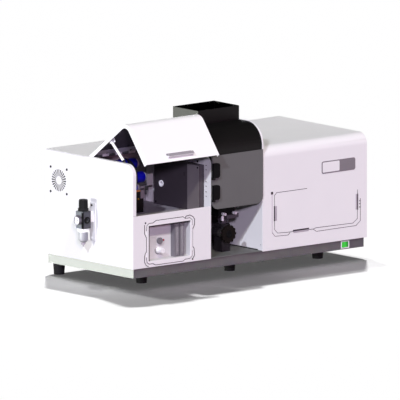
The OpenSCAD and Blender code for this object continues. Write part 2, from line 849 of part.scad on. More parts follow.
// Air filter regulator on the left side
module regulator_bracket() color("#e6e2ea") {
    block(-plate_t, 0, reg_y - plate_half, reg_y + plate_half, reg_low - plate_below, reg_top + plate_above);
    block(-reg_gap, -plate_t + eps, reg_y - plate_half / 2, reg_y + plate_half / 2, reg_low + 18, reg_top - 6);
}

module regulator_body() color("#5d5f66") difference() {
    union() {
        block(reg_left, -reg_gap, reg_y - reg_d / 2, reg_y + reg_d / 2, reg_low, reg_top);
        rod_y(reg_y - reg_d / 2 - 3, reg_y, reg_x, gauge_z, port_r + 5);
        rod_z(reg_low - bowl_h + 12, reg_low + 1, reg_x, reg_y, bowl_r - 8);
    }
    rod_y(reg_y - reg_d / 2 - 4, reg_y - reg_d / 2 - 3 + port_l, reg_x, gauge_z, port_r);
    rod_z(reg_top - 20, reg_top + 1, reg_x, reg_y, spindle_r + running);
}

module regulator_knob() color("#161518") {
    ribs = 24;
    rod_z(reg_top + seam, reg_top + 9, reg_x, reg_y, reg_knob_r + 3);
    rod_z(reg_top + 8, reg_top + 9 + reg_knob_h, reg_x, reg_y, reg_knob_r - 1);
    for (i = [0 : ribs - 1]) translate([reg_x, reg_y, 0]) rotate([0, 0, 360 / ribs * i])
        block(-1, 1, reg_knob_r - 2.5, reg_knob_r, reg_top + 8, reg_top + 6 + reg_knob_h);
    rod_z(reg_top - 18, reg_top + 1, reg_x, reg_y, spindle_r);
}

gauge_pin_r = 1;

module gauge_case() color("#d9d9dc") {
    difference() {
        rod_x(reg_left - gauge_l, reg_left, reg_y, gauge_z, gauge_r);
        rod_x(reg_left - gauge_l - 1, reg_left - gauge_l + 5, reg_y, gauge_z, gauge_r - 1.5);
    }
    rod_x(reg_left - gauge_l + 1, reg_left - gauge_l + 5 + eps, reg_y, gauge_z, gauge_pin_r);
}

module gauge_needle() color("#111111")
    translate([reg_left - gauge_l + 2.2, reg_y, gauge_z]) rotate([-135, 0, 0]) difference() {
        union() {
            rod_x(0, 1.5, 0, 0, 2.2);
            block(0.3, 1, -0.6, 0.6, -4, gauge_r - 4);
        }
        rod_x(-1, 3, 0, 0, gauge_pin_r + running);
    }

module filter_bowl() color([0.85, 0.9, 0.95, 0.5])
    translate([reg_x, reg_y, reg_low - bowl_h]) rotate_extrude() bowl_section();

module bowl_section() {
    wall = 2;
    hole = drain_r + running;
    difference() {
        polygon([[hole, 0], [bowl_r - 6, 0], [bowl_r, 7], [bowl_r, bowl_h], [hole, bowl_h]]);
        polygon([[0, wall + 1], [bowl_r - 6, wall + 1], [bowl_r - wall, 8], [bowl_r - wall, bowl_h + 1],
            [0, bowl_h + 1]]);
    }
}

module drain_cock() color("#2b2b30") {
    low = reg_low - bowl_h;
    rod_z(low - 9, low - seam, reg_x, reg_y, drain_r + 3);
    rod_z(low - 16, low - 9 + eps, reg_x, reg_y, drain_r - 0.5);
    rod_z(low - 1, low + 4, reg_x, reg_y, drain_r);
    block(reg_x - 9, reg_x + 9, reg_y - 1.2, reg_y + 1.2, low - 8, low - 2);
}

// Burner bay
module bay_rear_cover() color("#dcd8e0") {
    block(hood_x0, hood_x1, hood_back + seam, hood_back + seam + sheet, deck_top, top_z);
    block(hood_x0, hood_x1, hood_back + seam, rear_in, top_z - sheet, top_z);
}

function hood_outline(inset, low) = concat(
    [[-door_proud + inset, low]],
    arc(-door_proud + hood_r, hood_top - hood_r, hood_r - inset, 180, 90),
    [[hood_back - inset, hood_top - inset], [hood_back - inset, low]]
);

chim_x0 = bay_x0 + chimney_x;
chim_x1 = chim_x0 + chimney_w;
chim_y1 = chimney_y + chimney_d;

module duct() block(chim_x0 + chimney_t, chim_x1 - chimney_t, chimney_y + chimney_t, chim_y1 - chimney_t,
    hood_top - 10, hood_top + chimney_h + 1);

module hood() color("#131216") difference() {
    along_x(hood_x0, hood_x1) polygon(hood_outline(0, hood_z0));
    along_x(hood_x0 + sheet, hood_x1 - sheet) polygon(hood_outline(sheet, hood_z0 - 1));
    duct();
}

module chimney() color("#17161a") difference() {
    block(chim_x0, chim_x1, chimney_y, chim_y1, hood_top, hood_top + chimney_h);
    duct();
}

module flame_door() color("#656166") difference() {
    union() {
        block(door_x0, door_x1, -door_proud, door_back, door_z0 + door_r, door_z1);
        block(door_x0 + door_r, door_x1 - door_r, -door_proud, door_back, door_z0, door_z1);
        for (x = [door_x0 + door_r, door_x1 - door_r])
            rod_y(-door_proud, door_back, x, door_z0 + door_r, door_r);
    }
    for (z = door_hinge_z)
        block(door_x0 - 1, pivot_x + 7, -door_proud - 1, door_back + 1, z - hinge_arm_h - 1, z + hinge_lift);
}

module door_knuckles() color("#0d0c10") for (z = door_hinge_z) difference() {
    x1 = door_x0 + door_hinge_w;
    y0 = -door_proud - hinge_block_t;
    z0 = z + hinge_lift;
    z1 = z + door_hinge_h;
    union() {
        block(door_x0, x1 - hinge_end_r, y0, -door_proud, z0, z1);
        block(door_x0, x1, y0, -door_proud, z0 + hinge_end_r, z1 - hinge_end_r);
        for (c = [z0 + hinge_end_r, z1 - hinge_end_r])
            rod_y(y0, -door_proud, x1 - hinge_end_r, c, hinge_end_r);
    }
    rod_z(z, z1 - 6, pivot_x, pivot_y, door_pin_r + running);
}

module door_hinge_brackets() color("#0d0c10") for (z = door_hinge_z) {
    block(bay_x0, pivot_x + 4, pivot_y - 3.5, sheet + 10, z - hinge_arm_h, z);
    rod_z(z - 1, z + door_hinge_h - 8, pivot_x, pivot_y, door_pin_r);
}

// Burner lift: a toothed bar in a guide column, raised by the handwheel pinion
module lift_column() color("#6a676c") difference() {
    union() {
        block(bar_x - 9, bar_x + bar_w + 7, column_y0, column_y1, deck_top, column_top);
        rod_y(column_y0 + 1, column_y1 - 1, burn_x, wheel_cz, pitch_r + 6);
    }
    block(bar_x - seam, bar_x + bar_w + seam, bar_y - seam, bar_y + bar_w + seam, deck_top + 5, column_top + 1);
    block(bar_x - 4, bar_x + 1, rack_y - seam, rack_y + rack_w + seam, deck_top + 5, column_top + 1);
    rod_y(rack_y - seam, rack_y + rack_w + seam, burn_x, wheel_cz, pitch_r + 3);
    rod_y(column_y0 - 1, column_y1 + 1, burn_x, wheel_cz, shaft_r + running);
}

module rack() for (i = [0 : rack_teeth - 1]) {
    z = wheel_cz + (i - (rack_teeth - 1) / 2) * tooth_pitch;
    root = bar_x + 0.1;
    tip = burn_x + pitch_r - addendum;
    translate([0, rack_y + rack_w, 0]) rotate([90, 0, 0]) linear_extrude(rack_w)
        polygon([[root, z - tooth_w * 0.8], [root, z + tooth_w * 0.8],
            [tip, z + tooth_w * 0.3], [tip, z - tooth_w * 0.3]]);
}

module burner_carriage() color("#4c4a50") {
    block(shelf_x, shelf_x + shelf_w, column_y0 - shelf_lip, column_y1 + 13, shelf_z, shelf_top);
    block(bar_x, bar_x + bar_w, bar_y, bar_y + bar_w, bar_low, shelf_z + eps);
    rack();
}

module spray_chamber() color("#121116") {
    block(burn_x - clamp_half, burn_x + clamp_half, clamp_y, clamp_y + clamp_t,
        shelf_top, chamber_z + chamber_r + 3);
    rod_y(clamp_y + clamp_t - eps, axis_y + neck_r + 5, burn_x, chamber_z, chamber_r);
    rod_z(chamber_z, neck_top, burn_x, axis_y, neck_r);
}

module burner_head() color("#8e8a88") difference() {
    union() {
        block(burn_x - burner_l / 2, burn_x + burner_l / 2, axis_y - head_half, axis_y + head_half,
            head_top - head_h, head_top);
        rod_z(neck_top, head_top - head_h + 1, burn_x, axis_y, neck_r + 3);
    }
    block(burn_x - burner_l / 2 + 5, burn_x + burner_l / 2 - 5, axis_y - slot_half, axis_y + slot_half,
        head_top - head_h / 2, head_top + 1);
}

module nebuliser() color("#c8c8cc") {
    z = chamber_z + chamber_r / 2;
    rod_y(clamp_y - neb_l, clamp_y, burn_x, z, neb_r);
    rod_y(clamp_y - neb_l - capillary_l, clamp_y - neb_l + eps, burn_x, z, capillary_r);
}

module thumb_nuts() color("#f4f4f4") for (place = nut_places) difference() {
    x = burn_x + place;
    z = shelf_top + nut_r + 1;
    flute = nut_r + 0.6;
    rod_y(clamp_y - nut_l, clamp_y, x, z, nut_r);
    for (a = [0 : 30 : 330]) rod_y(clamp_y - nut_l - 1, clamp_y - 3, x + flute * cos(a), z + flute * sin(a), 1);
}

module pinion_shaft() color("#b8b8bc") translate([burn_x, 0, wheel_cz]) {
    rod_y(wheel_y + wheel_web, column_y1, 0, 0, shaft_r);
    rod_y(rack_y, rack_y + rack_w, 0, 0, pitch_r - 1.1 * gear_module);
    for (i = [0 : pinion_teeth - 1]) translate([0, rack_y + rack_w, 0]) rotate([90, 360 / pinion_teeth * i, 0])
        linear_extrude(rack_w)
            polygon([[pitch_r - 1.6 * gear_module, -tooth_w * 0.6], [pitch_r + addendum, -tooth_w * 0.25],
                [pitch_r + addendum, tooth_w * 0.25], [pitch_r - 1.6 * gear_module, tooth_w * 0.6]]);
}

module handwheel() color("#15141a") translate([burn_x, wheel_y, wheel_cz]) difference() {
    union() {
        rod_y(0, wheel_t, 0, 0, wheel_r);
        rod_y(wheel_t - eps, wheel_t + 8, 0, 0, 12);
    }
    for (a = [15 : 30 : 345]) rod_y(-1, wheel_t + 1, (wheel_r + 4) * cos(a), (wheel_r + 4) * sin(a), 7);
    rod_y(wheel_web, wheel_t + 9, 0, 0, shaft_r + 0.02);
}

// Spectrometer housing
module right_cover() color("#f1edf3")
    along_x(bay_x1, body_w) polygon(folded(0, deck_z, rear_in, top_z, bend_r, sheet));

module right_profile(low) polygon(concat(
    front_path(sheet, low, rear_in, top_z - sheet, bend_r - sheet), [[rear_in, low]]));

module right_end_panel() color("#f1edf3") difference() {
    along_x(body_w - sheet, body_w) right_profile(deck_z);
    for (i = [0 : end_vents - 1]) translate([0, 0, deck_z + vent_rise + i * vent_pitch])
        block(body_w - sheet - 1, body_w + 1, body_d - vent_edge - vent_l, body_d - vent_edge, 0, vent_h);
}

module right_inner_wall() color("#eceaf2") difference() {
    along_x(bay_x1, bay_x1 + sheet) right_profile(deck_top);
    rod_x(bay_x1 - 1, bay_x1 + sheet + 1, axis_y, optic_z, beam_r);
}

module rear_panel() color("#efebf1") difference() {
    block(0, body_w, rear_in, body_d, deck_z, top_z);
    block(socket_x - socket_w / 2 + 4, socket_x + socket_w / 2 - 4, rear_in - 1, body_d + 1,
        socket_z - socket_h / 2 + 3, socket_z + socket_h / 2 - 3);
    for (i = [0, 1]) rod_y(rear_in - 1, body_d + 1, inlet_x + i * inlet_gap, inlet_z, inlet_r + 2);
    for (i = [0 : rear_vents - 1]) translate([0, 0, top_z - vent_edge - i * vent_pitch])
        block(vent_x1 - vent_l, vent_x1, rear_in - 1, body_d + 1, 0, vent_h);
}

module power_inlet() color("#19181c") difference() {
    union() {
        block(socket_x - socket_w / 2, socket_x + socket_w / 2, body_d, body_d + 3,
            socket_z - socket_h / 2, socket_z + socket_h / 2);
        block(socket_x - socket_w / 2 + 4 + seam, socket_x + socket_w / 2 - 4 - seam, body_d - 24, body_d + eps,
            socket_z - socket_h / 2 + 3 + seam, socket_z + socket_h / 2 - 3 - seam);
    }
    difference() {
        block(socket_x - 12, socket_x + 12, body_d - 15, body_d + 4, socket_z - 8, socket_z + 8);
        for (x = [-7, 0, 7]) translate([socket_x + x, 0, socket_z])
            block(-1, 1, body_d - 16, body_d, -2, 2);
    }
}

module gas_inlets() color("#c7a24a") for (i = [0, 1]) translate([inlet_x + i * inlet_gap, 0, inlet_z]) {
    rotate([-90, 0, 0]) translate([0, 0, body_d]) cylinder(h = inlet_hex, r = inlet_r + 5, $fn = 6);
    rod_y(rear_in - 8, body_d + 1, 0, 0, inlet_r + 2 - running);
    rod_y(body_d + inlet_hex - eps, body_d + inlet_l, 0, 0, inlet_r);
}

// Monochromator casting with its mirrors, and the turning grating on it
module monochromator_bed() color("#3c3b40") difference() {
    union() {
        block(bed_x0, bed_x1, axis_y - bed_front, axis_y + bed_rear, bed_z - bed_t, bed_z);
        for (x = [bed_x0 + leg_in, bed_x1 - leg_in], y = [leg_in - bed_front, bed_rear - leg_in])
            rod_z(deck_top, bed_z - bed_t + eps, x, axis_y + y, leg_r);
        for (y = [axis_y - 30, axis_y + 70])
            block(bed_x1 - mirror_in - mirror_t, bed_x1 - mirror_in, y - mirror_half, y + mirror_half,
                bed_z - eps, optic_z + mirror_half);
        block(bed_x0 + slit_in, bed_x0 + slit_in + slit_t, axis_y - slit_side, axis_y + slit_side,
            bed_z - eps, optic_z + slit_side);
        translate([bed_x0 + slit_in, axis_y + detector_y, 0])
            block(0, detector_w, 0, detector_w, bed_z - eps, optic_z + slit_side * 2);
    }
    rod_x(bed_x0, bed_x0 + slit_in + slit_t + 1, axis_y, optic_z, beam_r);
    rod_z(bed_z - bed_t + 2, bed_z + 1, table_x, table_y, spigot_r + running);
}

module grating_table() color("#9a98a0") translate([table_x, table_y, bed_z]) {
    rod_z(-bed_t + 3, 1, 0, 0, spigot_r);
    rod_z(seam, table_t, 0, 0, table_r);
    rotate([0, 0, grating_rest])
        block(-grating_t / 2, grating_t / 2, -grating_w / 2, grating_w / 2, table_t - eps, table_t + grating_w);
}

module control_board() color("#1f6b3a") {
    x0 = bay_x1 + board_edge;
    x1 = socket_x - socket_w / 2 - board_gap;
    z0 = deck_top + board_gap;
    back = rear_in - board_stand;
    front = back - board_t;
    pitch = (x1 - x0) / 6;
    block(x0, x1, front, back, z0, z0 + board_h);
    for (x = [x0 + stand_in, x1 - stand_in], z = [z0 + stand_in, z0 + board_h - stand_in])
        rod_y(back - eps, rear_in, x, z, stand_in / 2);
    for (i = [0 : 4]) block(x0 + pitch * (i + 0.6), x0 + pitch * (i + 1.2), front - 10, front + eps,
        z0 + board_h * 0.2, z0 + board_h * 0.45);
    for (i = [1, 3, 5]) rod_y(front - 26, front + eps, x0 + pitch * i, z0 + board_h * 0.72, 9);
}

placed() rubber_feet();
placed() base_tray();
placed() deck_plate();
placed() switch_bezel();
placed() power_rocker();
placed() left_side_panel();
placed() left_inner_wall();
placed() left_top_panel();
placed() left_front_panel();
placed() gas_recess_tray();
placed() flowmeter_blocks();
placed() fuel_float();
placed() air_float();
placed() gas_knob();
placed() ignition_button();
placed() lamp_room_liner();
placed() optics_housing();
placed() aperture_ring();
placed() hinge_fixed_leaf();
placed() lid_hinge_leaf();
placed() lamp_lid();
placed() lid_handle();
placed() strut_rod();
placed() strut_cylinder();
placed() turret_stand();
placed() turret_drum();
placed() lamp_bodies();
placed() lamp_bases();
placed() fan_frame();
placed() fan_rotor();
placed() regulator_bracket();
placed() regulator_body();
placed() regulator_knob();
placed() gauge_case();
placed() gauge_needle();
placed() filter_bowl();
placed() drain_cock();
placed() bay_rear_cover();
placed() hood();
placed() chimney();
placed() flame_door();
placed() door_knuckles();
placed() door_hinge_brackets();
placed() lift_column();
placed() burner_carriage();
placed() spray_chamber();
placed() burner_head();
placed() nebuliser();
placed() thumb_nuts();
placed() pinion_shaft();
placed() handwheel();
placed() right_cover();
placed() right_end_panel();
placed() right_inner_wall();
placed() rear_panel();
placed() power_inlet();
placed() gas_inlets();
placed() monochromator_bed();
placed() grating_table();
placed() control_board();
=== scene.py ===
import json
import math

import bmesh
import bpy
from mathutils import Matrix, Vector


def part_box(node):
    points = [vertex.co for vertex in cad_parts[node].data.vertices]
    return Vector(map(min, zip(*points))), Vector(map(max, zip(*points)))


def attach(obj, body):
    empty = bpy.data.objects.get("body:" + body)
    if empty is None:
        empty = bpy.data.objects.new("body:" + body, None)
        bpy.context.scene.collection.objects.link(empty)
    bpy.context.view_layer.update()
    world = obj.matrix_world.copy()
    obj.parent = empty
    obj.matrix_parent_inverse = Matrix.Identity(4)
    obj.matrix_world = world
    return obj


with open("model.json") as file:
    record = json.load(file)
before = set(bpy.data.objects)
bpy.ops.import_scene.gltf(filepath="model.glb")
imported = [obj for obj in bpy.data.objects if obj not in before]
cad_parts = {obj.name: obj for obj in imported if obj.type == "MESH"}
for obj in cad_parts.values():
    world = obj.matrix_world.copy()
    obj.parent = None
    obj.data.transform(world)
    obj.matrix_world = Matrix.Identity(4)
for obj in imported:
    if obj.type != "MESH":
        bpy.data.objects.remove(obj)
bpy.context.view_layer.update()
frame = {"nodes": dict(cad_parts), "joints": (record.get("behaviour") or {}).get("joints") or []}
nodes = frame["nodes"]
scene = bpy.context.scene
finishes = {}

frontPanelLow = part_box("left_front_panel")[0]
corner = Vector((frontPanelLow.x, frontPanelLow.y, 0))  # bench point under the left front corner


def at(x, y, z):
    return corner + Vector((x, y, z)) / 1000  # millimetres from that corner


def span(name):
    low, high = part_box(name)
    return [value * 1000 for value in (*(low - corner), *(high - corner))]  # x0 y0 z0 x1 y1 z1 in mm


def middle(name):
    x0, y0, z0, x1, y1, z1 = span(name)
    return (x0 + x1) / 2, (y0 + y1) / 2, (z0 + z1) / 2


# camera, a parallel view from the left front as in the photograph
view = {"azimuth": 40.48, "elevation": 9.43, "widthMm": 1327.6, "targetMm": (483.7, 225, 224.2),
        "distance": 4.0, "farEnd": 50}


def placeCamera():
    turn = math.radians(view["azimuth"])
    rise = math.radians(view["elevation"])
    away = Vector((-math.sin(turn) * math.cos(rise), -math.cos(turn) * math.cos(rise), math.sin(rise)))
    lens = bpy.data.cameras.new("photoView")
    lens.type = "ORTHO"
    lens.ortho_scale = view["widthMm"] / 1000
    lens.clip_end = view["farEnd"]
    camera = bpy.data.objects.new("photoView", lens)
    scene.collection.objects.link(camera)
    camera.location = at(*view["targetMm"]) + away * view["distance"]
    camera.rotation_euler = (-away).to_track_quat("-Z", "Y").to_euler()
    scene.camera = camera


# light on the instrument: a bank on the left, a key, three lights from the front, a fill from behind
studio = {
    "leftBank": {"from": (-1.0, 0.15, 0.03), "strength": 1.65, "angle": 2, "colour": "#fffffa"},
    "key": {"from": (-0.745, -0.417, 0.521), "strength": 1.8, "angle": 1.5, "colour": "#eaf1ff",
            "misses": ("optics_housing", "opticsFrontPlate")},
    "frontSoft": {"from": (-0.57, -0.78, 0.27), "strength": 1.3, "angle": 5, "colour": "#efe2ff"},
    "frontBounce": {"from": (0.25, -0.97, 0.0), "strength": 0.6, "angle": 20, "colour": "#ffaddc"},
    "frontHigh": {"from": (-0.255, -0.637, 0.726), "strength": 1.33, "angle": 4, "colour": "#fffde6"},
    "backFill": {"from": (0.45, 0.89, 0.05), "strength": 2.4, "angle": 20, "colour": "#ffffff"},
}
# a second bank on the left that reaches only the parts named, by strength
partBank = {"from": (-1.0, 0.15, 0.03), "angle": 2, "colour": "#f8fff4"}
bankParts = {14.0: ("base_tray",), 34.0: ("chimney",), 10.0: ("regulator_body",),
             3.5: ("filter_bowl", "gauge_case", "bowlCollar"), 1.5: ("regulator_bracket",)}
# light on the paper alone, from behind on the right, for the two shadows in front
paperLight = {
    "darkShadow": {"from": (0.376, 0.438, 0.816), "strength": 2.85, "angle": 3, "colour": "#ffffff"},
    "paleShadow": {"from": (0.100, 0.400, 0.911), "strength": 0.7, "angle": 5, "colour": "#ffffff"},
}
room = {"colour": "#f4f0f6", "strength": 0.06, "backdrop": "#ffffff"}


def placeSun(name, made, receivers):
    lamp = bpy.data.lights.new(name, "SUN")
    lamp.energy = made["strength"]
    lamp.angle = math.radians(made["angle"])
    lamp.color = linear(made["colour"])[:3]
    shine = bpy.data.objects.new(name, lamp)
    scene.collection.objects.link(shine)
    shine.rotation_euler = Vector(made["from"]).to_track_quat("Z", "Y").to_euler()
    shine.light_linking.receiver_collection = receivers


def pieceNamed(name):
    return nodes.get(name) or bpy.data.objects[name]


# what a light reaches, or with EXCLUDE what it leaves out
def lightGroup(name, members, state):
    group = bpy.data.collections.new(name)
    for member in members:
        group.objects.link(member)
    for link in group.collection_objects:
        link.light_linking.link_state = state
    return group


def placeLights(floor):
    for name, made in studio.items():
        missed = [floor] + [pieceNamed(part) for part in made.get("misses", ())]
        placeSun(name, made, lightGroup(name + "Misses", missed, "EXCLUDE"))
    for strength, parts in bankParts.items():
        reached = [pieceNamed(part) for part in parts]
        name = parts[0] + "Bank"
        placeSun(name, {**partBank, "strength": strength}, lightGroup(name + "Reach", reached, "INCLUDE"))
    paperOnly = lightGroup("paperOnly", [floor], "INCLUDE")
    for name, made in paperLight.items():
        placeSun(name, made, paperOnly)
    scene.view_settings.view_transform = "Standard"


# a dim room for the shade, which shows white where a low view looks past the paper
def paintRoom():
    world = bpy.data.worlds.new("paleRoom")
    world.use_nodes = True
    tree = world.node_tree
    dim = tree.nodes["Background"]
    dim.inputs["Color"].default_value = linear(room["colour"])
    dim.inputs["Strength"].default_value = room["strength"]
    backdrop = addNode(tree, "ShaderNodeBackground", {"Color": linear(room["backdrop"])})
    straight = addNode(tree, "ShaderNodeLightPath").outputs["Is Camera Ray"]
    both = addNode(tree, "ShaderNodeMixShader", {0: straight, 1: dim.outputs[0], 2: backdrop.outputs[0]})
    tree.links.new(both.outputs[0], tree.nodes["World Output"].inputs["Surface"])
    scene.world = world


paperRoll = {"colour": "#f6f6f6", "glow": 0.08, "half": 60}  # half its width in metres


def placeFloor():
    mesh = bmesh.new()
    bmesh.ops.create_grid(mesh, x_segments=1, y_segments=1, size=paperRoll["half"])
    floor = finishPiece("paleFloor", mesh, "paper", None)
    floor.visible_diffuse = False  # the paper shows, and throws no light back on the instrument
    return floor


# a flag over the chimney, which only stops light from falling through it to the paper, in metres
chimneyFlag = {"over": 0.06, "above": 0.001}


def placeFlag():
    low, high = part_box("chimney")
    left = low.x - chimneyFlag["over"]
    centre = ((left + high.x) / 2, (low.y + high.y) / 2, high.z + chimneyFlag["above"])
    mesh = bmesh.new()
    bmesh.ops.create_grid(mesh, x_segments=1, y_segments=1, size=0.5)
    bmesh.ops.scale(mesh, vec=(high.x - left, high.y - low.y, 1), verts=mesh.verts)
    bmesh.ops.translate(mesh, vec=centre, verts=mesh.verts)
    flag = finishPiece("lightFlag", mesh, "paper", None)
    flag.visible_camera = False
    flag.visible_diffuse = False
    flag.visible_glossy = False


def linear(hexColour):
    parts = [int(hexColour[i:i + 2], 16) / 255 for i in (1, 3, 5)]
    return tuple(c / 12.92 if c <= 0.04045 else ((c + 0.055) / 1.055) ** 2.4 for c in parts) + (1.0,)


def addNode(tree, kind, inputs=None, **settings):
    node = tree.nodes.new(kind)
    for key, value in settings.items():
        setattr(node, key, value)
    for key, value in (inputs or {}).items():
        if isinstance(value, bpy.types.NodeSocket):
            tree.links.new(value, node.inputs[key])
        else:
            node.inputs[key].default_value = value
    return node


def startMaterial(name):
    material = bpy.data.materials.new(name)
    material.use_nodes = True
    tree = material.node_tree
    shader = tree.nodes["Principled BSDF"]
    place = addNode(tree, "ShaderNodeTexCoord").outputs["Object"]
    return material, tree, shader, place


def perMetre(millimetres):
    return 1000 / millimetres


noiseLow, noiseHigh = 0.3, 0.7  # most of a noise lies between these

# a painted or moulded skin: fine grain in the bump, slow changes of shade and gloss
skin = {"cloudMm": 140, "glossSpread": 0.05, "bump": 0.35}


def coatedSkin(name, colour, deeper, rough, grainMm, grainHeight, gloss, specular):
    material, tree, shader, place = startMaterial(name)
    grain = addNode(tree, "ShaderNodeTexNoise", {"Vector": place, "Scale": perMetre(grainMm),
                                                 "Detail": 3.0})
    cloud = addNode(tree, "ShaderNodeTexNoise", {"Vector": place, "Scale": perMetre(skin["cloudMm"]),
                                                 "Detail": 4.0})
    shade = addNode(tree, "ShaderNodeMix", {0: cloud.outputs["Fac"], 6: linear(colour),
                                            7: linear(deeper)}, data_type="RGBA")
    sheen = addNode(tree, "ShaderNodeMapRange", {
        "Value": cloud.outputs["Fac"], "From Min": noiseLow, "From Max": noiseHigh,
        "To Min": rough - skin["glossSpread"], "To Max": rough + skin["glossSpread"]})
    bump = addNode(tree, "ShaderNodeBump", {"Height": grain.outputs["Fac"], "Strength": skin["bump"],
                                            "Distance": grainHeight / 1000})
    tree.links.new(shade.outputs[2], shader.inputs["Base Color"])
    tree.links.new(sheen.outputs["Result"], shader.inputs["Roughness"])
    tree.links.new(bump.outputs["Normal"], shader.inputs["Normal"])
    shader.inputs["Coat Weight"].default_value = gloss
    shader.inputs["Specular IOR Level"].default_value = specular
    return material


# a second colour past a plane across one axis, as on a part sprayed or moulded in two colours; on the lid
# handle and the rocker it is painted shade
def splitColour(material, axis, edge, colour):
    tree = material.node_tree
    shader = tree.nodes["Principled BSDF"]
    first = shader.inputs["Base Color"].links[0].from_socket
    place = next(n for n in tree.nodes if n.type == "TEX_COORD").outputs["Object"]
    parts = addNode(tree, "ShaderNodeSeparateXYZ", {"Vector": place})
    beyond = addNode(tree, "ShaderNodeMath", {0: parts.outputs[axis], 1: edge}, operation="GREATER_THAN")
    both = addNode(tree, "ShaderNodeMix", {0: beyond.outputs[0], 6: first, 7: linear(colour)},
                   data_type="RGBA")
    tree.links.new(both.outputs[2], shader.inputs["Base Color"])


def glow(material, colour, strength):
    shader = material.node_tree.nodes["Principled BSDF"]
    shader.inputs["Emission Color"].default_value = linear(colour)
    shader.inputs["Emission Strength"].default_value = strength


# bare metal with the fine marks of the tool, in its shade, gloss and bump
bareMetal = {"glossSpread": 0.07, "bump": 0.25, "markHeight": 0.05}


def workedMetal(name, colour, deeper, rough, markMm):
    material, tree, shader, place = startMaterial(name)
    marks = addNode(tree, "ShaderNodeTexNoise", {"Vector": place, "Scale": perMetre(markMm),
                                                 "Detail": 4.0})
    shade = addNode(tree, "ShaderNodeMix", {0: marks.outputs["Fac"], 6: linear(colour),
                                            7: linear(deeper)}, data_type="RGBA")
    sheen = addNode(tree, "ShaderNodeMapRange", {
        "Value": marks.outputs["Fac"], "From Min": noiseLow, "From Max": noiseHigh,
        "To Min": rough - bareMetal["glossSpread"], "To Max": rough + bareMetal["glossSpread"]})
    bump = addNode(tree, "ShaderNodeBump", {"Height": marks.outputs["Fac"], "Strength": bareMetal["bump"],
                                            "Distance": bareMetal["markHeight"] / 1000})
    tree.links.new(shade.outputs[2], shader.inputs["Base Color"])
    tree.links.new(sheen.outputs["Result"], shader.inputs["Roughness"])
    tree.links.new(bump.outputs["Normal"], shader.inputs["Normal"])
    shader.inputs["Metallic"].default_value = 1.0
    return material


# moulded polycarbonate: clear or frosted, with slow swirls from the flow of the melt
melt = {"swirlMm": 12, "swirlHeight": 0.2, "bump": 0.15, "glossSpread": 0.06, "ior": 1.58}


def polycarbonate(name, colour, rough, through):
    material, tree, shader, place = startMaterial(name)
    swirl = addNode(tree, "ShaderNodeTexNoise", {"Vector": place, "Scale": perMetre(melt["swirlMm"]),
                                                 "Detail": 2.0})
    bump = addNode(tree, "ShaderNodeBump", {"Height": swirl.outputs["Fac"], "Strength": melt["bump"],
                                            "Distance": melt["swirlHeight"] / 1000})
    frost = addNode(tree, "ShaderNodeMapRange", {
        "Value": swirl.outputs["Fac"], "From Min": noiseLow, "From Max": noiseHigh,
        "To Min": rough, "To Max": rough + melt["glossSpread"]})
    tree.links.new(bump.outputs["Normal"], shader.inputs["Normal"])
    tree.links.new(frost.outputs["Result"], shader.inputs["Roughness"])
    shader.inputs["Base Color"].default_value = linear(colour)
    shader.inputs["IOR"].default_value = melt["ior"]
    shader.inputs["Transmission Weight"].default_value = through
    return material


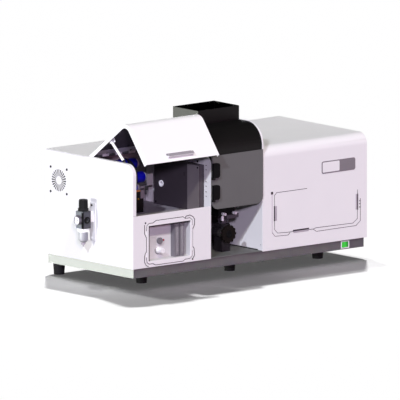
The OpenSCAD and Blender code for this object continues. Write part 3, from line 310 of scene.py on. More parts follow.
# name, two colours, roughness, grain across and its height in mm, clear coat, specular level
coats = {
    # matt paper backdrop, evenly lit from below so that it stays white between the shadows
    "paper": ("whitePaperRoll", paperRoll["colour"], paperRoll["colour"], 0.9, 3, 0.05, 0, 0),
    # polyester powder coat on steel, sprayed and baked: a faint orange peel, drawn coarse enough to show
    "white": ("whitePowderCoat", "#f3f2f3", "#eeedef", 0.45, 6, 0.10, 0, 0.3),
    "grey": ("greyPowderCoat", "#686868", "#616161", 0.55, 5, 0.10, 0, 0.3),
    "charcoal": ("charcoalPowderCoat", "#544f56", "#4c474d", 0.6, 5, 0.10, 0, 0.25),
    "liner": ("linerPowderCoat", "#a7a1a7", "#9e989e", 0.6, 5, 0.10, 0, 0.25),
    # a brighter copy of the white for the lid: painted light, for the extra light on the lid's tilted
    # front
    "lidWhiteLit": ("lidPowderCoatLit", "#fbfbfb", "#f8f8f8", 0.45, 6, 0.10, 0, 0.3),
    # a darker copy of the white for the gas recess tray: painted shade of the recess
    "trayWhiteShaded": ("trayPowderCoatShaded", "#d8d6d8", "#d2d0d2", 0.5, 6, 0.10, 0, 0.3),
    # a paler grey for the optics cover's front plate: painted light on the front of the charcoal cover
    "coverGreyLit": ("coverPowderCoatLit", "#a8a3a7", "#746f73", 0.6, 5, 0.10, 0, 0.25),
    # stoved black paint on the hot parts: smooth, almost matt
    "stove": ("blackStovePaint", "#070606", "#0b0909", 0.56, 9, 0.05, 0, 0.2),
    # near-black paint on the cast column, darker than its own paint: painted shade for the shade it lies
    # in under the door
    "columnBlack": ("columnBlackPaint", "#2d2a2d", "#232123", 0.6, 4, 0.12, 0, 0.2),
    # moulded black rubber: dull and slightly dusty
    "rubber": ("mouldedRubber", "#0e0d0f", "#161518", 0.75, 3, 0.12, 0, 0.3),
    # ABS out of an etched mould: satin grain
    "blackAbs": ("blackAbs", "#121115", "#19181d", 0.45, 3, 0.10, 0, 0.5),
    "brownAbs": ("brownBlackAbs", "#130d0b", "#0e0908", 0.65, 3, 0.10, 0, 0.1),
    "knobAbs": ("knobAbs", "#1c1c1d", "#161617", 0.6, 3, 0.10, 0, 0.15),
    "mattAbs": ("mattBlackAbs", "#070608", "#0b0a0c", 0.7, 3, 0.10, 0, 0.1),
    "greyAbs": ("greyAbs", "#77737a", "#6d6a70", 0.45, 3, 0.08, 0, 0.5),
    "paleAbs": ("paleGreyAbs", "#b9b2bb", "#aea7b0", 0.45, 3, 0.08, 0, 0.5),
    "whiteAbs": ("whiteAbs", "#f6f4f6", "#efedf0", 0.35, 4, 0.04, 0.2, 0.5),
    # ABS of the lid handle; the grey above its middle is painted shade of its finger recess
    "pullAbs": ("pullAbs", "#f6f4f6", "#efedf0", 0.4, 4, 0.04, 0, 0.5),
    # screen printed ink: flat, slightly worn
    "ink": ("darkPrintedInk", "#2c242c", "#383038", 0.6, 2, 0.02, 0, 0.2),
    "paleInk": ("palePrintedInk", "#b7a9b7", "#aea0ae", 0.6, 2, 0.02, 0, 0.5),
    # anodised and dyed aluminium plate: satin and almost even
    "plateGrey": ("anodisedPlate", "#827c82", "#7b757b", 0.5, 2, 0.02, 0, 0.5),
    # printed sleeve of a hollow cathode lamp: saturated and shiny
    "sleeve": ("blueSleeve", "#0606a2", "#0a0ab0", 0.35, 5, 0.03, 0, 0.3),
    # phenolic lamp base: shiny orange brown
    "phenolic": ("orangePhenolic", "#c8781a", "#a85f10", 0.35, 4, 0.05, 0.3, 0.5),
    # circuit board under its green solder mask
    "board": ("solderMask", "#1c5a34", "#226b3f", 0.35, 3, 0.05, 0.3, 0.5),
    # moulded ABS and acrylic lit from behind: smooth and bright
    "rocker": ("litGreenAbs", "#12dc1c", "#0fc418", 0.3, 4, 0.03, 0, 0.5),
    "redLens": ("redLens", "#b81c3a", "#9c1630", 0.2, 3, 0.02, 0.6, 0.5),
    # foam sheet glued inside the lid: matt and open
    "foam": ("charcoalFoam", "#57515b", "#4d4851", 0.9, 2.5, 0.4, 0, 0.1),
    # zinc plate under a dull passivation
    "passivated": ("passivatedZinc", "#e2dce4", "#aaa2a9", 0.5, 3, 0.05, 0, 0.5),
    # painted zinc die casting: smooth with a dull metallic shade
    "casting": ("dieCasting", "#474850", "#3f4047", 0.5, 2.5, 0.08, 0, 0.3),
}
# turned and blackened metals with fine marks from the tool: name, two colours, roughness, marks in mm
metals = {
    "steel": ("turnedSteel", "#c4c4c8", "#a9a9ae", 0.28, 0.8),
    "aluminium": ("turnedAluminium", "#c9c8cb", "#b3b2b6", 0.34, 1.0),
    "brass": ("turnedBrass", "#c9a24b", "#b08a3a", 0.3, 1.0),
    "blackScrew": ("blackenedSteel", "#39383c", "#2c2b2f", 0.45, 0.8),
}
# moulded bowl and windows, polished panes: name, colour, roughness, share of the light let through
clearPanes = {
    "frosted": ("frostedPolycarbonate", "#a6a5ad", 0.4, 0.25),
    "smoked": ("smokedPolycarbonate", "#a5a1a7", 0.15, 0.5),
    "glass": ("polishedGlass", "#f2f4f6", 0.03, 0.95),
}
# where a finish changes its colour, in millimetres from an end of the part or as a share of it
colourSplits = {"linerUp": 2, "lampNose": 9, "rockerShare": 0.68}


def mixFinishes():
    for make, kinds in ((coatedSkin, coats), (workedMetal, metals), (polycarbonate, clearPanes)):
        for key, made in kinds.items():
            finishes[key] = make(*made)
    linerFloor = span("lamp_room_liner")[2] + colourSplits["linerUp"]
    splitColour(finishes["liner"], "Z", at(0, 0, linerFloor).z, "#a49ea5")
    # painted shade: grey above the handle's middle stands in for the shade of its finger recess
    splitColour(finishes["pullAbs"], "Z", at(*middle("lid_handle")).z, "#9b969c")  # grey above its middle
    noseStart = span("lamp_bodies")[3] - colourSplits["lampNose"]
    splitColour(finishes["sleeve"], "X", at(noseStart, 0, 0).x, "#c4c1c8")
    x0, _, _, x1 = span("power_rocker")[:4]
    shadeStart = x0 + colourSplits["rockerShare"] * (x1 - x0)  # its far end is in the shade of the bezel
    splitColour(finishes["rocker"], "X", at(shadeStart, 0, 0).x, "#0f7a1c")
    glow(finishes["rocker"], "#18c828", 0.12)
    glow(finishes["redLens"], "#ff2050", 0.2)
    glow(finishes["paper"], "#ffffff", paperRoll["glow"])


def finishPiece(name, mesh, finish, body="chassis"):
    data = bpy.data.meshes.new(name)
    mesh.to_mesh(data)
    mesh.free()
    data.materials.append(finishes[finish])
    piece = bpy.data.objects.new(name, data)
    scene.collection.objects.link(piece)
    if body:
        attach(piece, body)
    return piece


# CAD nodes: a finish, and a small round on every sharp edge
nodeEdges = {"segments": 2, "sharpDegrees": 40, "joinMm": 0.01}


def dress(finish, edgeMm, names):
    for name in names.split():
        node = nodes[name]
        node.data.materials.clear()
        node.data.materials.append(finishes[finish])
        weld = node.modifiers.new("joinTriangles", "WELD")
        weld.merge_threshold = nodeEdges["joinMm"] / 1000
        soft = node.modifiers.new("softEdges", "BEVEL")
        soft.width = edgeMm / 1000
        soft.segments = nodeEdges["segments"]
        soft.limit_method = "ANGLE"
        soft.angle_limit = math.radians(nodeEdges["sharpDegrees"])


def dressNodes():
    dress("white", 0.5, "left_inner_wall left_top_panel left_front_panel "
                        "right_cover right_end_panel right_inner_wall rear_panel regulator_bracket")
    dress("white", 0.2, "left_side_panel")
    dress("lidWhiteLit", 0.5, "lamp_lid")
    dress("trayWhiteShaded", 0.5, "gas_recess_tray")
    dress("grey", 0.5, "base_tray flame_door")
    dress("grey", 1.2, "deck_plate")
    # the optics housing's charcoal is painted shade, darker than its own grey; its lit front is painted on
    # the paler front plate
    dress("charcoal", 0.5, "optics_housing bay_rear_cover burner_carriage")
    dress("liner", 0.5, "lamp_room_liner")
    dress("stove", 0.5, "hood chimney turret_stand door_hinge_brackets")
    dress("columnBlack", 0.5, "lift_column")
    dress("mattAbs", 0.5, "door_knuckles spray_chamber")
    dress("rubber", 1.5, "rubber_feet")
    dress("blackAbs", 0.4, "turret_drum fan_frame fan_rotor gauge_needle power_inlet")
    dress("brownAbs", 0.6, "handwheel")
    dress("knobAbs", 0.4, "regulator_knob")
    dress("pullAbs", 0.4, "lid_handle")
    dress("greyAbs", 0.4, "flowmeter_blocks ignition_button gauge_case")
    dress("whiteAbs", 0.4, "switch_bezel gas_knob aperture_ring strut_cylinder thumb_nuts")
    dress("paleAbs", 0.4, "drain_cock")
    dress("rocker", 0.4, "power_rocker")
    dress("sleeve", 0.4, "lamp_bodies")
    dress("phenolic", 0.4, "lamp_bases")
    dress("passivated", 0.2, "lid_hinge_leaf")
    dress("steel", 0.2, "strut_rod nebuliser pinion_shaft")
    dress("aluminium", 0.3, "fuel_float air_float burner_head grating_table")
    # the fixed hinge leaf takes the dark casting grey as painted shade, for the shade in the gap under the
    # lid's hinge leaf
    dress("casting", 0.5, "regulator_body monochromator_bed hinge_fixed_leaf")
    dress("frosted", 0.3, "filter_bowl")
    dress("brass", 0.3, "gas_inlets")
    dress("board", 0.2, "control_board")


# puts a small mesh, moved to its place, into the mesh of a piece
def absorb(mesh, part, place=None):
    if place:
        bmesh.ops.transform(part, matrix=place, verts=part.verts)
    data = bpy.data.meshes.new("scratch")
    part.to_mesh(data)
    part.free()
    mesh.from_mesh(data)
    bpy.data.meshes.remove(data)


def aimed(direction, place):
    return Matrix.Translation(place) @ Vector(direction).to_track_quat("Z", "Y").to_matrix().to_4x4()


def facing(direction, *placeMm):
    return aimed(direction, at(*placeMm))


sharpTurn = 0.6  # radians between two faces


def roundOff(part, roundMm):
    sharp = [edge for edge in part.edges if edge.is_manifold and edge.calc_face_angle() > sharpTurn]
    bmesh.ops.bevel(part, geom=sharp, offset=roundMm / 1000, offset_type="OFFSET", segments=2,
                    profile=0.5, affect="EDGES", clamp_overlap=True, material=-1)


def pointsIn(geom):
    return [item for item in geom if isinstance(item, bmesh.types.BMVert)]


def pullOut(part, faces, vec):
    pulled = bmesh.ops.extrude_face_region(part, geom=faces)["geom"]
    bmesh.ops.translate(part, vec=vec, verts=pointsIn(pulled))
    bmesh.ops.recalc_face_normals(part, faces=part.faces)


def addBar(mesh, low, high, roundMm=0.3, place=None):
    part = bmesh.new()
    bmesh.ops.create_cube(part, size=1)
    size = [(b - a) / 1000 for a, b in zip(low, high)]
    centre = [(a + b) / 2 for a, b in zip(low, high)]
    bmesh.ops.scale(part, vec=size, verts=part.verts)
    roundOff(part, roundMm)
    spot = Matrix.Translation(at(*centre))
    absorb(mesh, part, place @ spot if place else spot)


# a turned shape from its half outline, (radius, height) in millimetres
def addTurned(mesh, outline, place, steps=32):
    part = bmesh.new()
    points = [part.verts.new((radius / 1000, 0, height / 1000)) for radius, height in outline]
    edges = [part.edges.new(pair) for pair in zip(points, points[1:])]
    bmesh.ops.spin(part, geom=points + edges, cent=(0, 0, 0), axis=(0, 0, 1), angle=2 * math.pi,
                   steps=steps, use_merge=True)
    bmesh.ops.remove_doubles(part, verts=part.verts, dist=0.000002)
    bmesh.ops.recalc_face_normals(part, faces=part.faces)
    absorb(mesh, part, place)


# a flat plate standing on the front panels: its outline in (x, z), with a hole where one is given
def addPlate(mesh, outline, backY, frontY, roundMm, hole=()):
    part = bmesh.new()
    edges = []
    for loop in filter(None, (outline, hole)):
        points = [part.verts.new(at(x, backY, z)) for x, z in loop]
        edges += [part.edges.new(pair) for pair in zip(points, points[1:] + points[:1])]
    bmesh.ops.triangle_fill(part, edges=edges, use_beauty=True)
    pullOut(part, part.faces[:], (0, (frontY - backY) / 1000, 0))
    roundOff(part, roundMm)
    absorb(mesh, part)


# button head screw with a socket, its half outline for a radius of 1
screwHead = [(0, 0.12), (0.42, 0.12), (0.46, 0.5), (0.62, 0.52), (0.88, 0.36), (1, 0.1), (1, -0.1),
             (0, -0.1)]


def addScrew(mesh, direction, placeMm, radius):
    outline = [(radius * r, radius * h) for r, h in screwHead]
    addTurned(mesh, outline, facing(direction, *placeMm), 20)


def turnedPiece(name, outline, place, steps, finish, body="chassis"):
    mesh = bmesh.new()
    addTurned(mesh, outline, place, steps)
    return finishPiece(name, mesh, finish, body)


def barPiece(name, low, high, roundMm, finish):
    mesh = bmesh.new()
    addBar(mesh, low, high, roundMm)
    finishPiece(name, mesh, finish)


def screwPiece(name, direction, placeMm, radius, finish):
    mesh = bmesh.new()
    addScrew(mesh, direction, placeMm, radius)
    finishPiece(name, mesh, finish)


# round bead along lines of points, made a mesh at once
def beadPiece(name, lines, widthMm, finish):
    curve = bpy.data.curves.new(name, "CURVE")
    curve.dimensions = "3D"
    curve.bevel_depth = widthMm / 2000
    curve.bevel_resolution = 2
    curve.use_fill_caps = True
    for line in lines:
        spline = curve.splines.new("POLY")
        spline.points.add(len(line) - 1)
        for knot, point in zip(spline.points, line):
            knot.co = (*at(*point), 1)
    drawn = bpy.data.objects.new(name + "Curve", curve)
    scene.collection.objects.link(drawn)
    data = drawn.evaluated_get(bpy.context.evaluated_depsgraph_get()).to_mesh()
    mesh = bmesh.new()
    mesh.from_mesh(data)
    bpy.data.objects.remove(drawn)
    finishPiece(name, mesh, finish)


def onFront(line, y):
    return [(x, y, z) for x, z in line]


# raised white frame round the gas recess, the thin dark line round it and its corner marks
gasFrame = {
    "proud": 1.6, "lineMm": 2.4, "lineY": -0.2, "dotMm": 5.5, "dotY": (-0.6, 0.2), "traySheet": 1.5,
    "darkBeadMm": 4, "shadeLineIn": (2.4, 1.5), "shadeLineY": 0.6,
    "outline": [(58.6, 195), (60.8, 212), (69, 217.4), (87, 217.4), (100, 224), (217, 224),
                (226, 217.6), (247, 217.6), (256, 210.5), (258.3, 192), (258.3, 108), (256, 90),
                (247, 82.6), (226, 82.6), (217, 77), (97, 77), (86, 82.6), (69, 82.6), (60.8, 88),
                (58.6, 105)],
    "lines": [
        [(58.2, 194), (60.4, 212.6), (69.1, 218.2), (86.6, 218.2), (99.7, 225), (217.5, 225),
         (226.2, 218.4), (247, 218.6), (256.7, 211.2), (258.9, 192.7)],
        [(226.2, 219.5), (231, 226), (248, 227.6), (261, 221), (267.7, 212), (267.7, 195), (263.3, 185.5),
         (258.9, 179.2), (258.9, 122), (265.5, 114.6), (267.7, 90.8), (261, 81.5)],
        [(49.5, 215.3), (49.5, 185), (53.8, 177.8), (58, 171), (58, 125), (52, 117), (49.5, 109),
         (49.5, 90), (56, 79), (67, 72.5)],
        [(258.9, 108), (256.7, 89.5), (247, 81.8), (226.5, 81.8), (217.4, 76.2), (96.6, 76.2),
         (85.6, 81.8), (69, 81.8), (60.2, 87.6), (58.2, 105)],
    ],
    "dots": [(53.8, 221), (259, 78.5)],
}


def makeGasFrame():
    made = gasFrame
    edge = made["traySheet"]
    x0, _, z0, x1, _, z1 = span("gas_recess_tray")
    x0, z0, x1, z1 = x0 + edge, z0 + edge, x1 - edge, z1 - edge
    mesh = bmesh.new()
    addPlate(mesh, made["outline"], 0, -made["proud"], 0.5, [(x0, z0), (x1, z0), (x1, z1), (x0, z1)])
    finishPiece("gasRecessFrame", mesh, "whiteAbs")
    lines = [onFront(line, made["lineY"]) for line in made["lines"]]
    beadPiece("gasFrameLines", lines, made["lineMm"], "ink")
    # painted shade: a black bead along the recess's left and top inner edges stands in for the shade those
    # edges cast into it
    shadeLineX, shadeLineZ = x0 + made["shadeLineIn"][0], z1 - made["shadeLineIn"][1]
    darkBead = onFront([(shadeLineX, z0), (shadeLineX, shadeLineZ), (x1, shadeLineZ)], made["shadeLineY"])
    beadPiece("gasRecessShadeLine", [darkBead], made["darkBeadMm"], "rubber")
    marks = bmesh.new()
    half = made["dotMm"] / 2
    front, back = made["dotY"]
    for x, z in made["dots"]:
        addBar(marks, (x - half, front, z - half), (x + half, back, z + half), 0.2)
    finishPiece("gasFrameMarks", marks, "ink")


# in the gas recess: lamp by the button, arc round the knob, windows, scales and screws of the flowmeters
gasFittings = {
    "ledAt": (160.6, 149), "ledR": 2.4, "arcR": 13.5, "arcFrom": 165, "arcTo": 285, "arcStep": 5,
    "arcMm": 1.8, "plugR": 4.2, "plugIn": 5.5, "windowHalf": 3.4, "windowIn": 12, "ticks": 13,
    "tickMm": 0.6, "tickIn": 20, "tickLong": (4.5, 2.5, 2.5),
}


def makeGasFittings():
    made = gasFittings
    x0, y0, z0, x1, y1, z1 = span("flowmeter_blocks")
    ledX, ledZ = made["ledAt"]
    ledPlace = facing((0, -1, 0), ledX, y1, ledZ)
    r = made["ledR"]
    lens = [(0, 1.2 * r), (0.5 * r, 1.05 * r), (0.87 * r, 0.6 * r), (r, 0), (r, -0.2), (0, -0.2)]
    turnedPiece("readyLamp", lens, ledPlace, 24, "redLens")
    collar = [(r + 0.1, 0), (r + 0.1, 0.8), (r + 0.5, 1), (r + 1.1, 0.7), (r + 1.2, 0), (r + 0.1, 0)]
    turnedPiece("readyLampCollar", collar, ledPlace, 24, "blackAbs")
    kx0, _, kz0, kx1 = span("gas_knob")[:4]
    knobX, knobZ = (kx0 + kx1) / 2, kz0 + (kx1 - kx0) / 2
    arcLine = []
    for degrees in range(made["arcFrom"], made["arcTo"] + 1, made["arcStep"]):
        turn = math.radians(degrees)
        arcLine.append((knobX + made["arcR"] * math.cos(turn), knobZ + made["arcR"] * math.sin(turn)))
    beadPiece("gasScaleArc", [onFront(arcLine, y1 - 0.2)], made["arcMm"], "ink")
    wide, half, inset = y1 - y0, made["windowHalf"], made["windowIn"]
    step = (z1 - z0 - 2 * made["tickIn"]) / (made["ticks"] - 1)
    plugs = bmesh.new()
    windows = bmesh.new()
    scales = bmesh.new()
    for x in (x0 + wide / 2, x1 - wide / 2):
        for z in (z0 + made["plugIn"], z1 - made["plugIn"]):
            addScrew(plugs, (0, -1, 0), (x, y0, z), made["plugR"])
        addBar(windows, (x - half, y0 - 0.8, z0 + inset), (x + half, y0 + 0.1, z1 - inset), 0.3)
        tickX = x + half + 0.6
        for i in range(made["ticks"]):
            z = z0 + made["tickIn"] + i * step
            long = made["tickLong"][i % 3]
            addBar(scales, (tickX, y0 - 0.25, z), (tickX + long, y0 + 0.1, z + made["tickMm"]), 0.1)
    finishPiece("flowmeterPlugs", plugs, "greyAbs")
    panes = finishPiece("flowmeterWindows", windows, "smoked")
    panes.visible_shadow = False  # clear sheet lets the light through to the blocks
    finishPiece("flowmeterScales", scales, "paleInk")


# right housing: printed outline of the service door, and at its finger slots dark bars and grey lips that
# paint the shade inside them
doorPrint = {
    "darkMm": 1.7, "paleMm": 2.6,
    "dark": [
        [(758.6, 262), (625.5, 262), (616.8, 253.4), (616.8, 139), (629.9, 125.8), (671, 123.7),
         (785, 122.6), (798, 125.5), (959, 124), (978, 137), (978.9, 234.5)],
        [(784.8, 122), (800, 113.2), (972.4, 114.1), (991.1, 128.9), (991.1, 204)],
        [(605.9, 130), (619, 115.9), (675.7, 114.2), (684.4, 121)],
    ],
    "pale": [[(605.9, 258), (605.9, 130)]],
    "dots": [(605.9, 262.3, 9), (989, 175, 4), (989, 186, 4), (989, 196, 4)],
    "slots": [((614, 167), (618.6, 218)), ((697, 124), (767, 129)), ((977, 167), (981.5, 221))],
    "lipShade": [((618.6, 168), (626.5, 217)), ((699, 118.5), (765, 124)), ((970.5, 168), (977, 220))],
}


def makeDoorPrint():
    made = doorPrint
    dark = [onFront(line, -0.1) for line in made["dark"]]
    beadPiece("serviceDoorLines", dark, made["darkMm"], "ink")
    pale = [onFront(line, 0.4) for line in made["pale"]]
    beadPiece("serviceDoorFold", pale, made["paleMm"], "paleInk")
    dots = bmesh.new()
    for x, z, side in made["dots"]:
        addBar(dots, (x - side / 2, -0.5, z - side / 2), (x + side / 2, 0.2, z + side / 2), 0.2)
    # painted shade: dark bars in the finger slots stand in for the shade inside them
    for low, high in made["slots"]:
        addBar(dots, (low[0], -0.7, low[1]), (high[0], 0.2, high[1]), 0.4)
    finishPiece("serviceDoorMarksAndSlotShade", dots, "ink")
    # painted shade: grey lips beside the slots stand in for the paler shade on the slots' floors
    lipShade = bmesh.new()
    for low, high in made["lipShade"]:
        addBar(lipShade, (low[0], -1.1, low[1]), (high[0], 0.2, high[1]), 0.6)
    finishPiece("serviceDoorLipShade", lipShade, "paleAbs")


# bare plate in two parts, a grey one and a white inlay
namePlate = {"x": (822, 968), "z": (304, 345), "split": 899, "edge": 3.6, "corner": 7, "thick": 1.6}


def roundedOutline(x0, x1, z0, z1, radius, steps=6):
    outline = []
    for i, (x, z) in enumerate(((x1, z0), (x1, z1), (x0, z1), (x0, z0))):
        cx = x - radius if x == x1 else x + radius
        cz = z - radius if z == z1 else z + radius
        for step in range(steps + 1):
            turn = math.radians(-90 + 90 * i + 90 * step / steps)
            outline.append((cx + radius * math.cos(turn), cz + radius * math.sin(turn)))
    return outline


def makeNamePlate():
    made = namePlate
    (x0, x1), (z0, z1), edge = made["x"], made["z"], made["edge"]
    mesh = bmesh.new()
    addPlate(mesh, roundedOutline(x0, x1, z0, z1, made["corner"]), 0, -made["thick"], 0.4)
    finishPiece("plainPlate", mesh, "plateGrey")
    inlay = bmesh.new()
    addPlate(inlay, roundedOutline(x0 + edge, made["split"], z0 + edge, z1 - edge, made["corner"] - edge),
             -made["thick"] + 0.2, -made["thick"] - 0.4, 0.2)
    finishPiece("plainPlateInlay", inlay, "white")


# a part with one section all along X: its outline in (y, z)
def addSection(mesh, outline, x0, x1, roundMm, place=None):
    part = bmesh.new()
    face = part.faces.new([part.verts.new(at(x0, y, z)) for y, z in outline])
    pullOut(part, [face], ((x1 - x0) / 1000, 0, 0))
    roundOff(part, roundMm)
    absorb(mesh, part, place)


def jointNamed(name):
    return next(joint for joint in frame["joints"] if joint["name"] == name)


def jointSpot(name):
    return [value * 1000 for value in Vector(jointNamed(name)["pos_m"]) - corner]


# turns what is drawn with the lid shut to where the open lid is
def lidPlace():
    joint = jointNamed("lid_hinge")
    pivot = Matrix.Translation(Vector(joint["pos_m"]))
    return pivot @ Matrix.Rotation(-math.radians(joint["range_deg"][1]), 4, "X") @ pivot.inverted()


# lid: foam under it, screws of its hinge leaf, a grey insert of its finger pull that also paints the shade
# inside the pull, all drawn with the lid shut
lidTrim = {
    "top": 421, "bend": 37, "bendSteps": 10, "sheet": 1.5, "foamGap": 0.4, "foamMm": 1.4,
    "foamLow": 253, "foamBack": 203, "x": (16.5, 330.5), "screwR": 3.2, "screwPitch": 102, "screws": 3,
    "leafRow": (85, 228), "foamRow": (50, 192), "insertX": (116, 220), "insertY": (-2.6, -1.9),
    "insertZ": (266, 278.5), "ribs": 9, "ribMm": 2, "ribIn": (6, 2), "ribY": (-3.1, -2.4),
}


def makeLidTrim():
    made = lidTrim
    opened = lidPlace()
    near = made["sheet"] + made["foamGap"]

    def skinLine(depth):
        bend, steps = made["bend"], made["bendSteps"]
        radius = bend - depth
        turns = [math.pi * (1 - i / (2 * steps)) for i in range(steps + 1)]
        curve = [(bend + radius * math.cos(t), made["top"] - bend + radius * math.sin(t)) for t in turns]
        return [(depth, made["foamLow"])] + curve + [(made["foamBack"], made["top"] - depth)]

    foam = bmesh.new()
    outline = skinLine(near) + skinLine(near + made["foamMm"])[::-1]
    addSection(foam, outline, *made["x"], 0.3, opened)
    finishPiece("lidFoam", foam, "foam", "lid")
    screws = bmesh.new()
    leafFace = made["top"] - 2 * made["sheet"]
    foamFace = made["top"] - near - made["foamMm"]
    for (x, y), face in ((made["leafRow"], leafFace), (made["foamRow"], foamFace)):
        for i in range(made["screws"]):
            head = bmesh.new()
            addScrew(head, (0, 0, -1), (x + i * made["screwPitch"], y, face), made["screwR"])
            absorb(screws, head, opened)
    finishPiece("hingeLeafScrews", screws, "blackScrew", "lid")
    # painted shade: the grey ribbed insert also stands in for the shade inside the finger pull
    insert = bmesh.new()
    (x0, x1), (y0, y1), (z0, z1) = made["insertX"], made["insertY"], made["insertZ"]
    addBar(insert, (x0, y0, z0), (x1, y1, z1), 0.3, opened)
    (inX, inZ), (y0, y1), half = made["ribIn"], made["ribY"], made["ribMm"] / 2
    for i in range(made["ribs"]):
        x = x0 + inX + (x1 - x0 - 2 * inX) * i / (made["ribs"] - 1)
        addBar(insert, (x - half, y0, z0 + inZ), (x + half, y1, z1 - inZ), 0.3, opened)
    finishPiece("fingerPullShadeInsert", insert, "greyAbs", "lid")


# gas strut: wiper collar at the open end of the tube and cap on the lower eye
strutTrim = {
    "rodR": 3.1, "tubeR": 4.7, "collarR": 5.6, "collarMm": 5, "capR": 4.6, "capMm": 2.2, "capOut": 4,
    "endMm": 3.2,  # the tube's round end stands lower than the middle of its face
}


def makeStrutTrim():
    made = strutTrim
    foot = Vector(jointNamed("strut_pivot")["pos_m"])
    along = Vector(jointNamed("strut_slide")["axis"]).normalized()
    tubeEnd = (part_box("strut_cylinder")[0].y - foot.y) / along.y + made["endMm"] / 1000
    rodR, tubeR, r, h = made["rodR"], made["tubeR"], made["collarR"], made["collarMm"]
    collar = [(rodR, -1.5), (tubeR, -1.5), (r, -0.6), (r, h - 0.6), (tubeR, h), (rodR + 0.9, 0.6),
              (rodR, -1.5)]
    place = aimed(along, foot + along * tubeEnd)
    turnedPiece("strutCollar", collar, place, 24, "blackAbs", "strut_tube")
    r, h = made["capR"], made["capMm"]
    cap = [(0, h), (0.6 * r, 0.85 * h), (r, 0.2 * h), (r, -0.2), (0, -0.2)]
    place = aimed((-1, 0, 0), foot - Vector((made["capOut"] / 1000, 0, 0)))
    turnedPiece("strutFootCap", cap, place, 24, "steel", "strut_plunger")


# lamps: a plated band, and a glass window at the nose
lampTrim = {"pitch": 40, "sleeveR": 18.5, "noseR": 14.5, "lamps": 4, "bandX": 88.5, "bandMm": 4}


def makeLampTrim():
    made = lampTrim
    axisY, axisZ = jointSpot("turret_turn")[1:]
    noseX = span("lamp_bodies")[3]
    bands = bmesh.new()
    windows = bmesh.new()
    r, n = made["sleeveR"], made["noseR"]
    for i in range(made["lamps"]):
        turn = math.radians(360 / made["lamps"] * i)
        y = axisY + made["pitch"] * math.sin(turn)
        z = axisZ - made["pitch"] * math.cos(turn)
        ring = [(r - 0.1, 0), (r + 0.3, 0.2), (r + 0.5, 1), (r + 0.5, made["bandMm"] - 1),
                (r + 0.3, made["bandMm"] - 0.2), (r - 0.1, made["bandMm"]), (r - 0.1, 0)]
        addTurned(bands, ring, facing((1, 0, 0), made["bandX"], y, z), 40)
        lens = [(0, 1.6), (0.5 * n, 1.3), (0.82 * n, 0.5), (0.86 * n, -0.1), (0, -0.1)]
        addTurned(windows, lens, facing((1, 0, 0), noseX, y, z), 32)
    finishPiece("lampBands", bands, "aluminium", "turret")
    finishPiece("lampWindows", windows, "glass", "turret")


# lamp stand: tag strip, sensor on its arm, and a screw
standTrim = {
    "strip": ((44, 157.4, 295.5), (178, 163.6, 300.5)), "tags": 8, "tagPitch": 17, "tagIn": 8,
    "tagY": 160.5,
    "arm": [((166, 155.4, 272), (182, 158.2, 306)), ((166, 155.4, 300), (219, 158.2, 313)),
            ((194, 155.4, 306), (219, 158.2, 351))],
    "sensor": ((183, 152.8, 299), (197, 158.4, 312)), "sensorScrewAt": (190, 152.8, 305),
    "sensorScrewR": 2.2, "screwAt": (157.5, 158, 271), "screwR": 4,
}


def makeStandTrim():
    made = standTrim
    strip = bmesh.new()
    addBar(strip, *made["strip"], 0.6)
    for i in range(made["tags"]):
        x = made["strip"][0][0] + made["tagIn"] + made["tagPitch"] * i
        addTurned(strip, [(0, 1), (2, 0.9), (2.4, 0.3), (2.4, -0.2), (0, -0.2)],
                  facing((0, 0, 1), x, made["tagY"], made["strip"][1][2]), 16)
    finishPiece("lampTagStrip", strip, "phenolic")
    arm = bmesh.new()
    for low, high in made["arm"]:
        addBar(arm, low, high, 0.6)
    finishPiece("sensorArm", arm, "plateGrey")
    sensor = bmesh.new()
    addBar(sensor, *made["sensor"], 0.8)
    addScrew(sensor, (0, -1, 0), made["sensorScrewAt"], made["sensorScrewR"])
    finishPiece("lampSensor", sensor, "blackAbs")
    screwPiece("standScrew", (0, -1, 0), made["screwAt"], made["screwR"], "brass")


# lamp room wall and optics cover: a front plate whose paler grey paints the light on the cover's front,
# black bars that paint the shade inside small slots, and the screws that hold them
roomTrim = {
    "plateY": (36, 96), "plateIn": 2.5, "plateMm": 0.9, "slotAt": (113, 343), "slotMm": (3, 13),
    "dashY": 18, "dashMm": (5, 2.2), "dashZ": (382, 367, 327, 312, 293, 278),
    "wallScrewAt": (62, 391.5), "wallScrewR": 4, "screwR": 3.4, "screwIn": 9,
}


def makeRoomTrim():
    made = roomTrim
    coverX, y0, z0, _, y1, z1 = span("optics_housing")
    wallX = span("left_inner_wall")[0]
    plateX = coverX - made["plateMm"]
    inset, (near, far) = made["plateIn"], made["plateY"]
    # painted light: the front plate's paler grey stands in for the light falling on the front of the cover
    barPiece("opticsFrontPlate", (plateX, near, z0 + inset), (coverX + 0.2, far, z1 - inset), 0.4,
             "coverGreyLit")
    # painted shade: the slot in the cover and the dashes on the wall are black bars standing in for the
    # dark inside those slots
    slots = bmesh.new()
    y, z = made["slotAt"]
    wide, high = made["slotMm"]
    addBar(slots, (coverX - 0.3, y - wide / 2, z - high / 2), (coverX + 0.3, y + wide / 2, z + high / 2),
           0.2)
    y = made["dashY"]
    wide, high = made["dashMm"]
    for z in made["dashZ"]:
        addBar(slots, (wallX - 0.3, y - wide / 2, z), (wallX + 0.3, y + wide / 2, z + high), 0.2)
    finishPiece("wallSlotShade", slots, "ink")
    screws = bmesh.new()
    inset = made["screwIn"]
    for y, face in ((y0 + inset, plateX), (y1 - inset, coverX)):
        for z in (z0 + inset, z1 - inset):
            addScrew(screws, (-1, 0, 0), (face, y, z), made["screwR"])
    addScrew(screws, (-1, 0, 0), (wallX, *made["wallScrewAt"]), made["wallScrewR"])
    finishPiece("roomScrews", screws, "blackScrew")


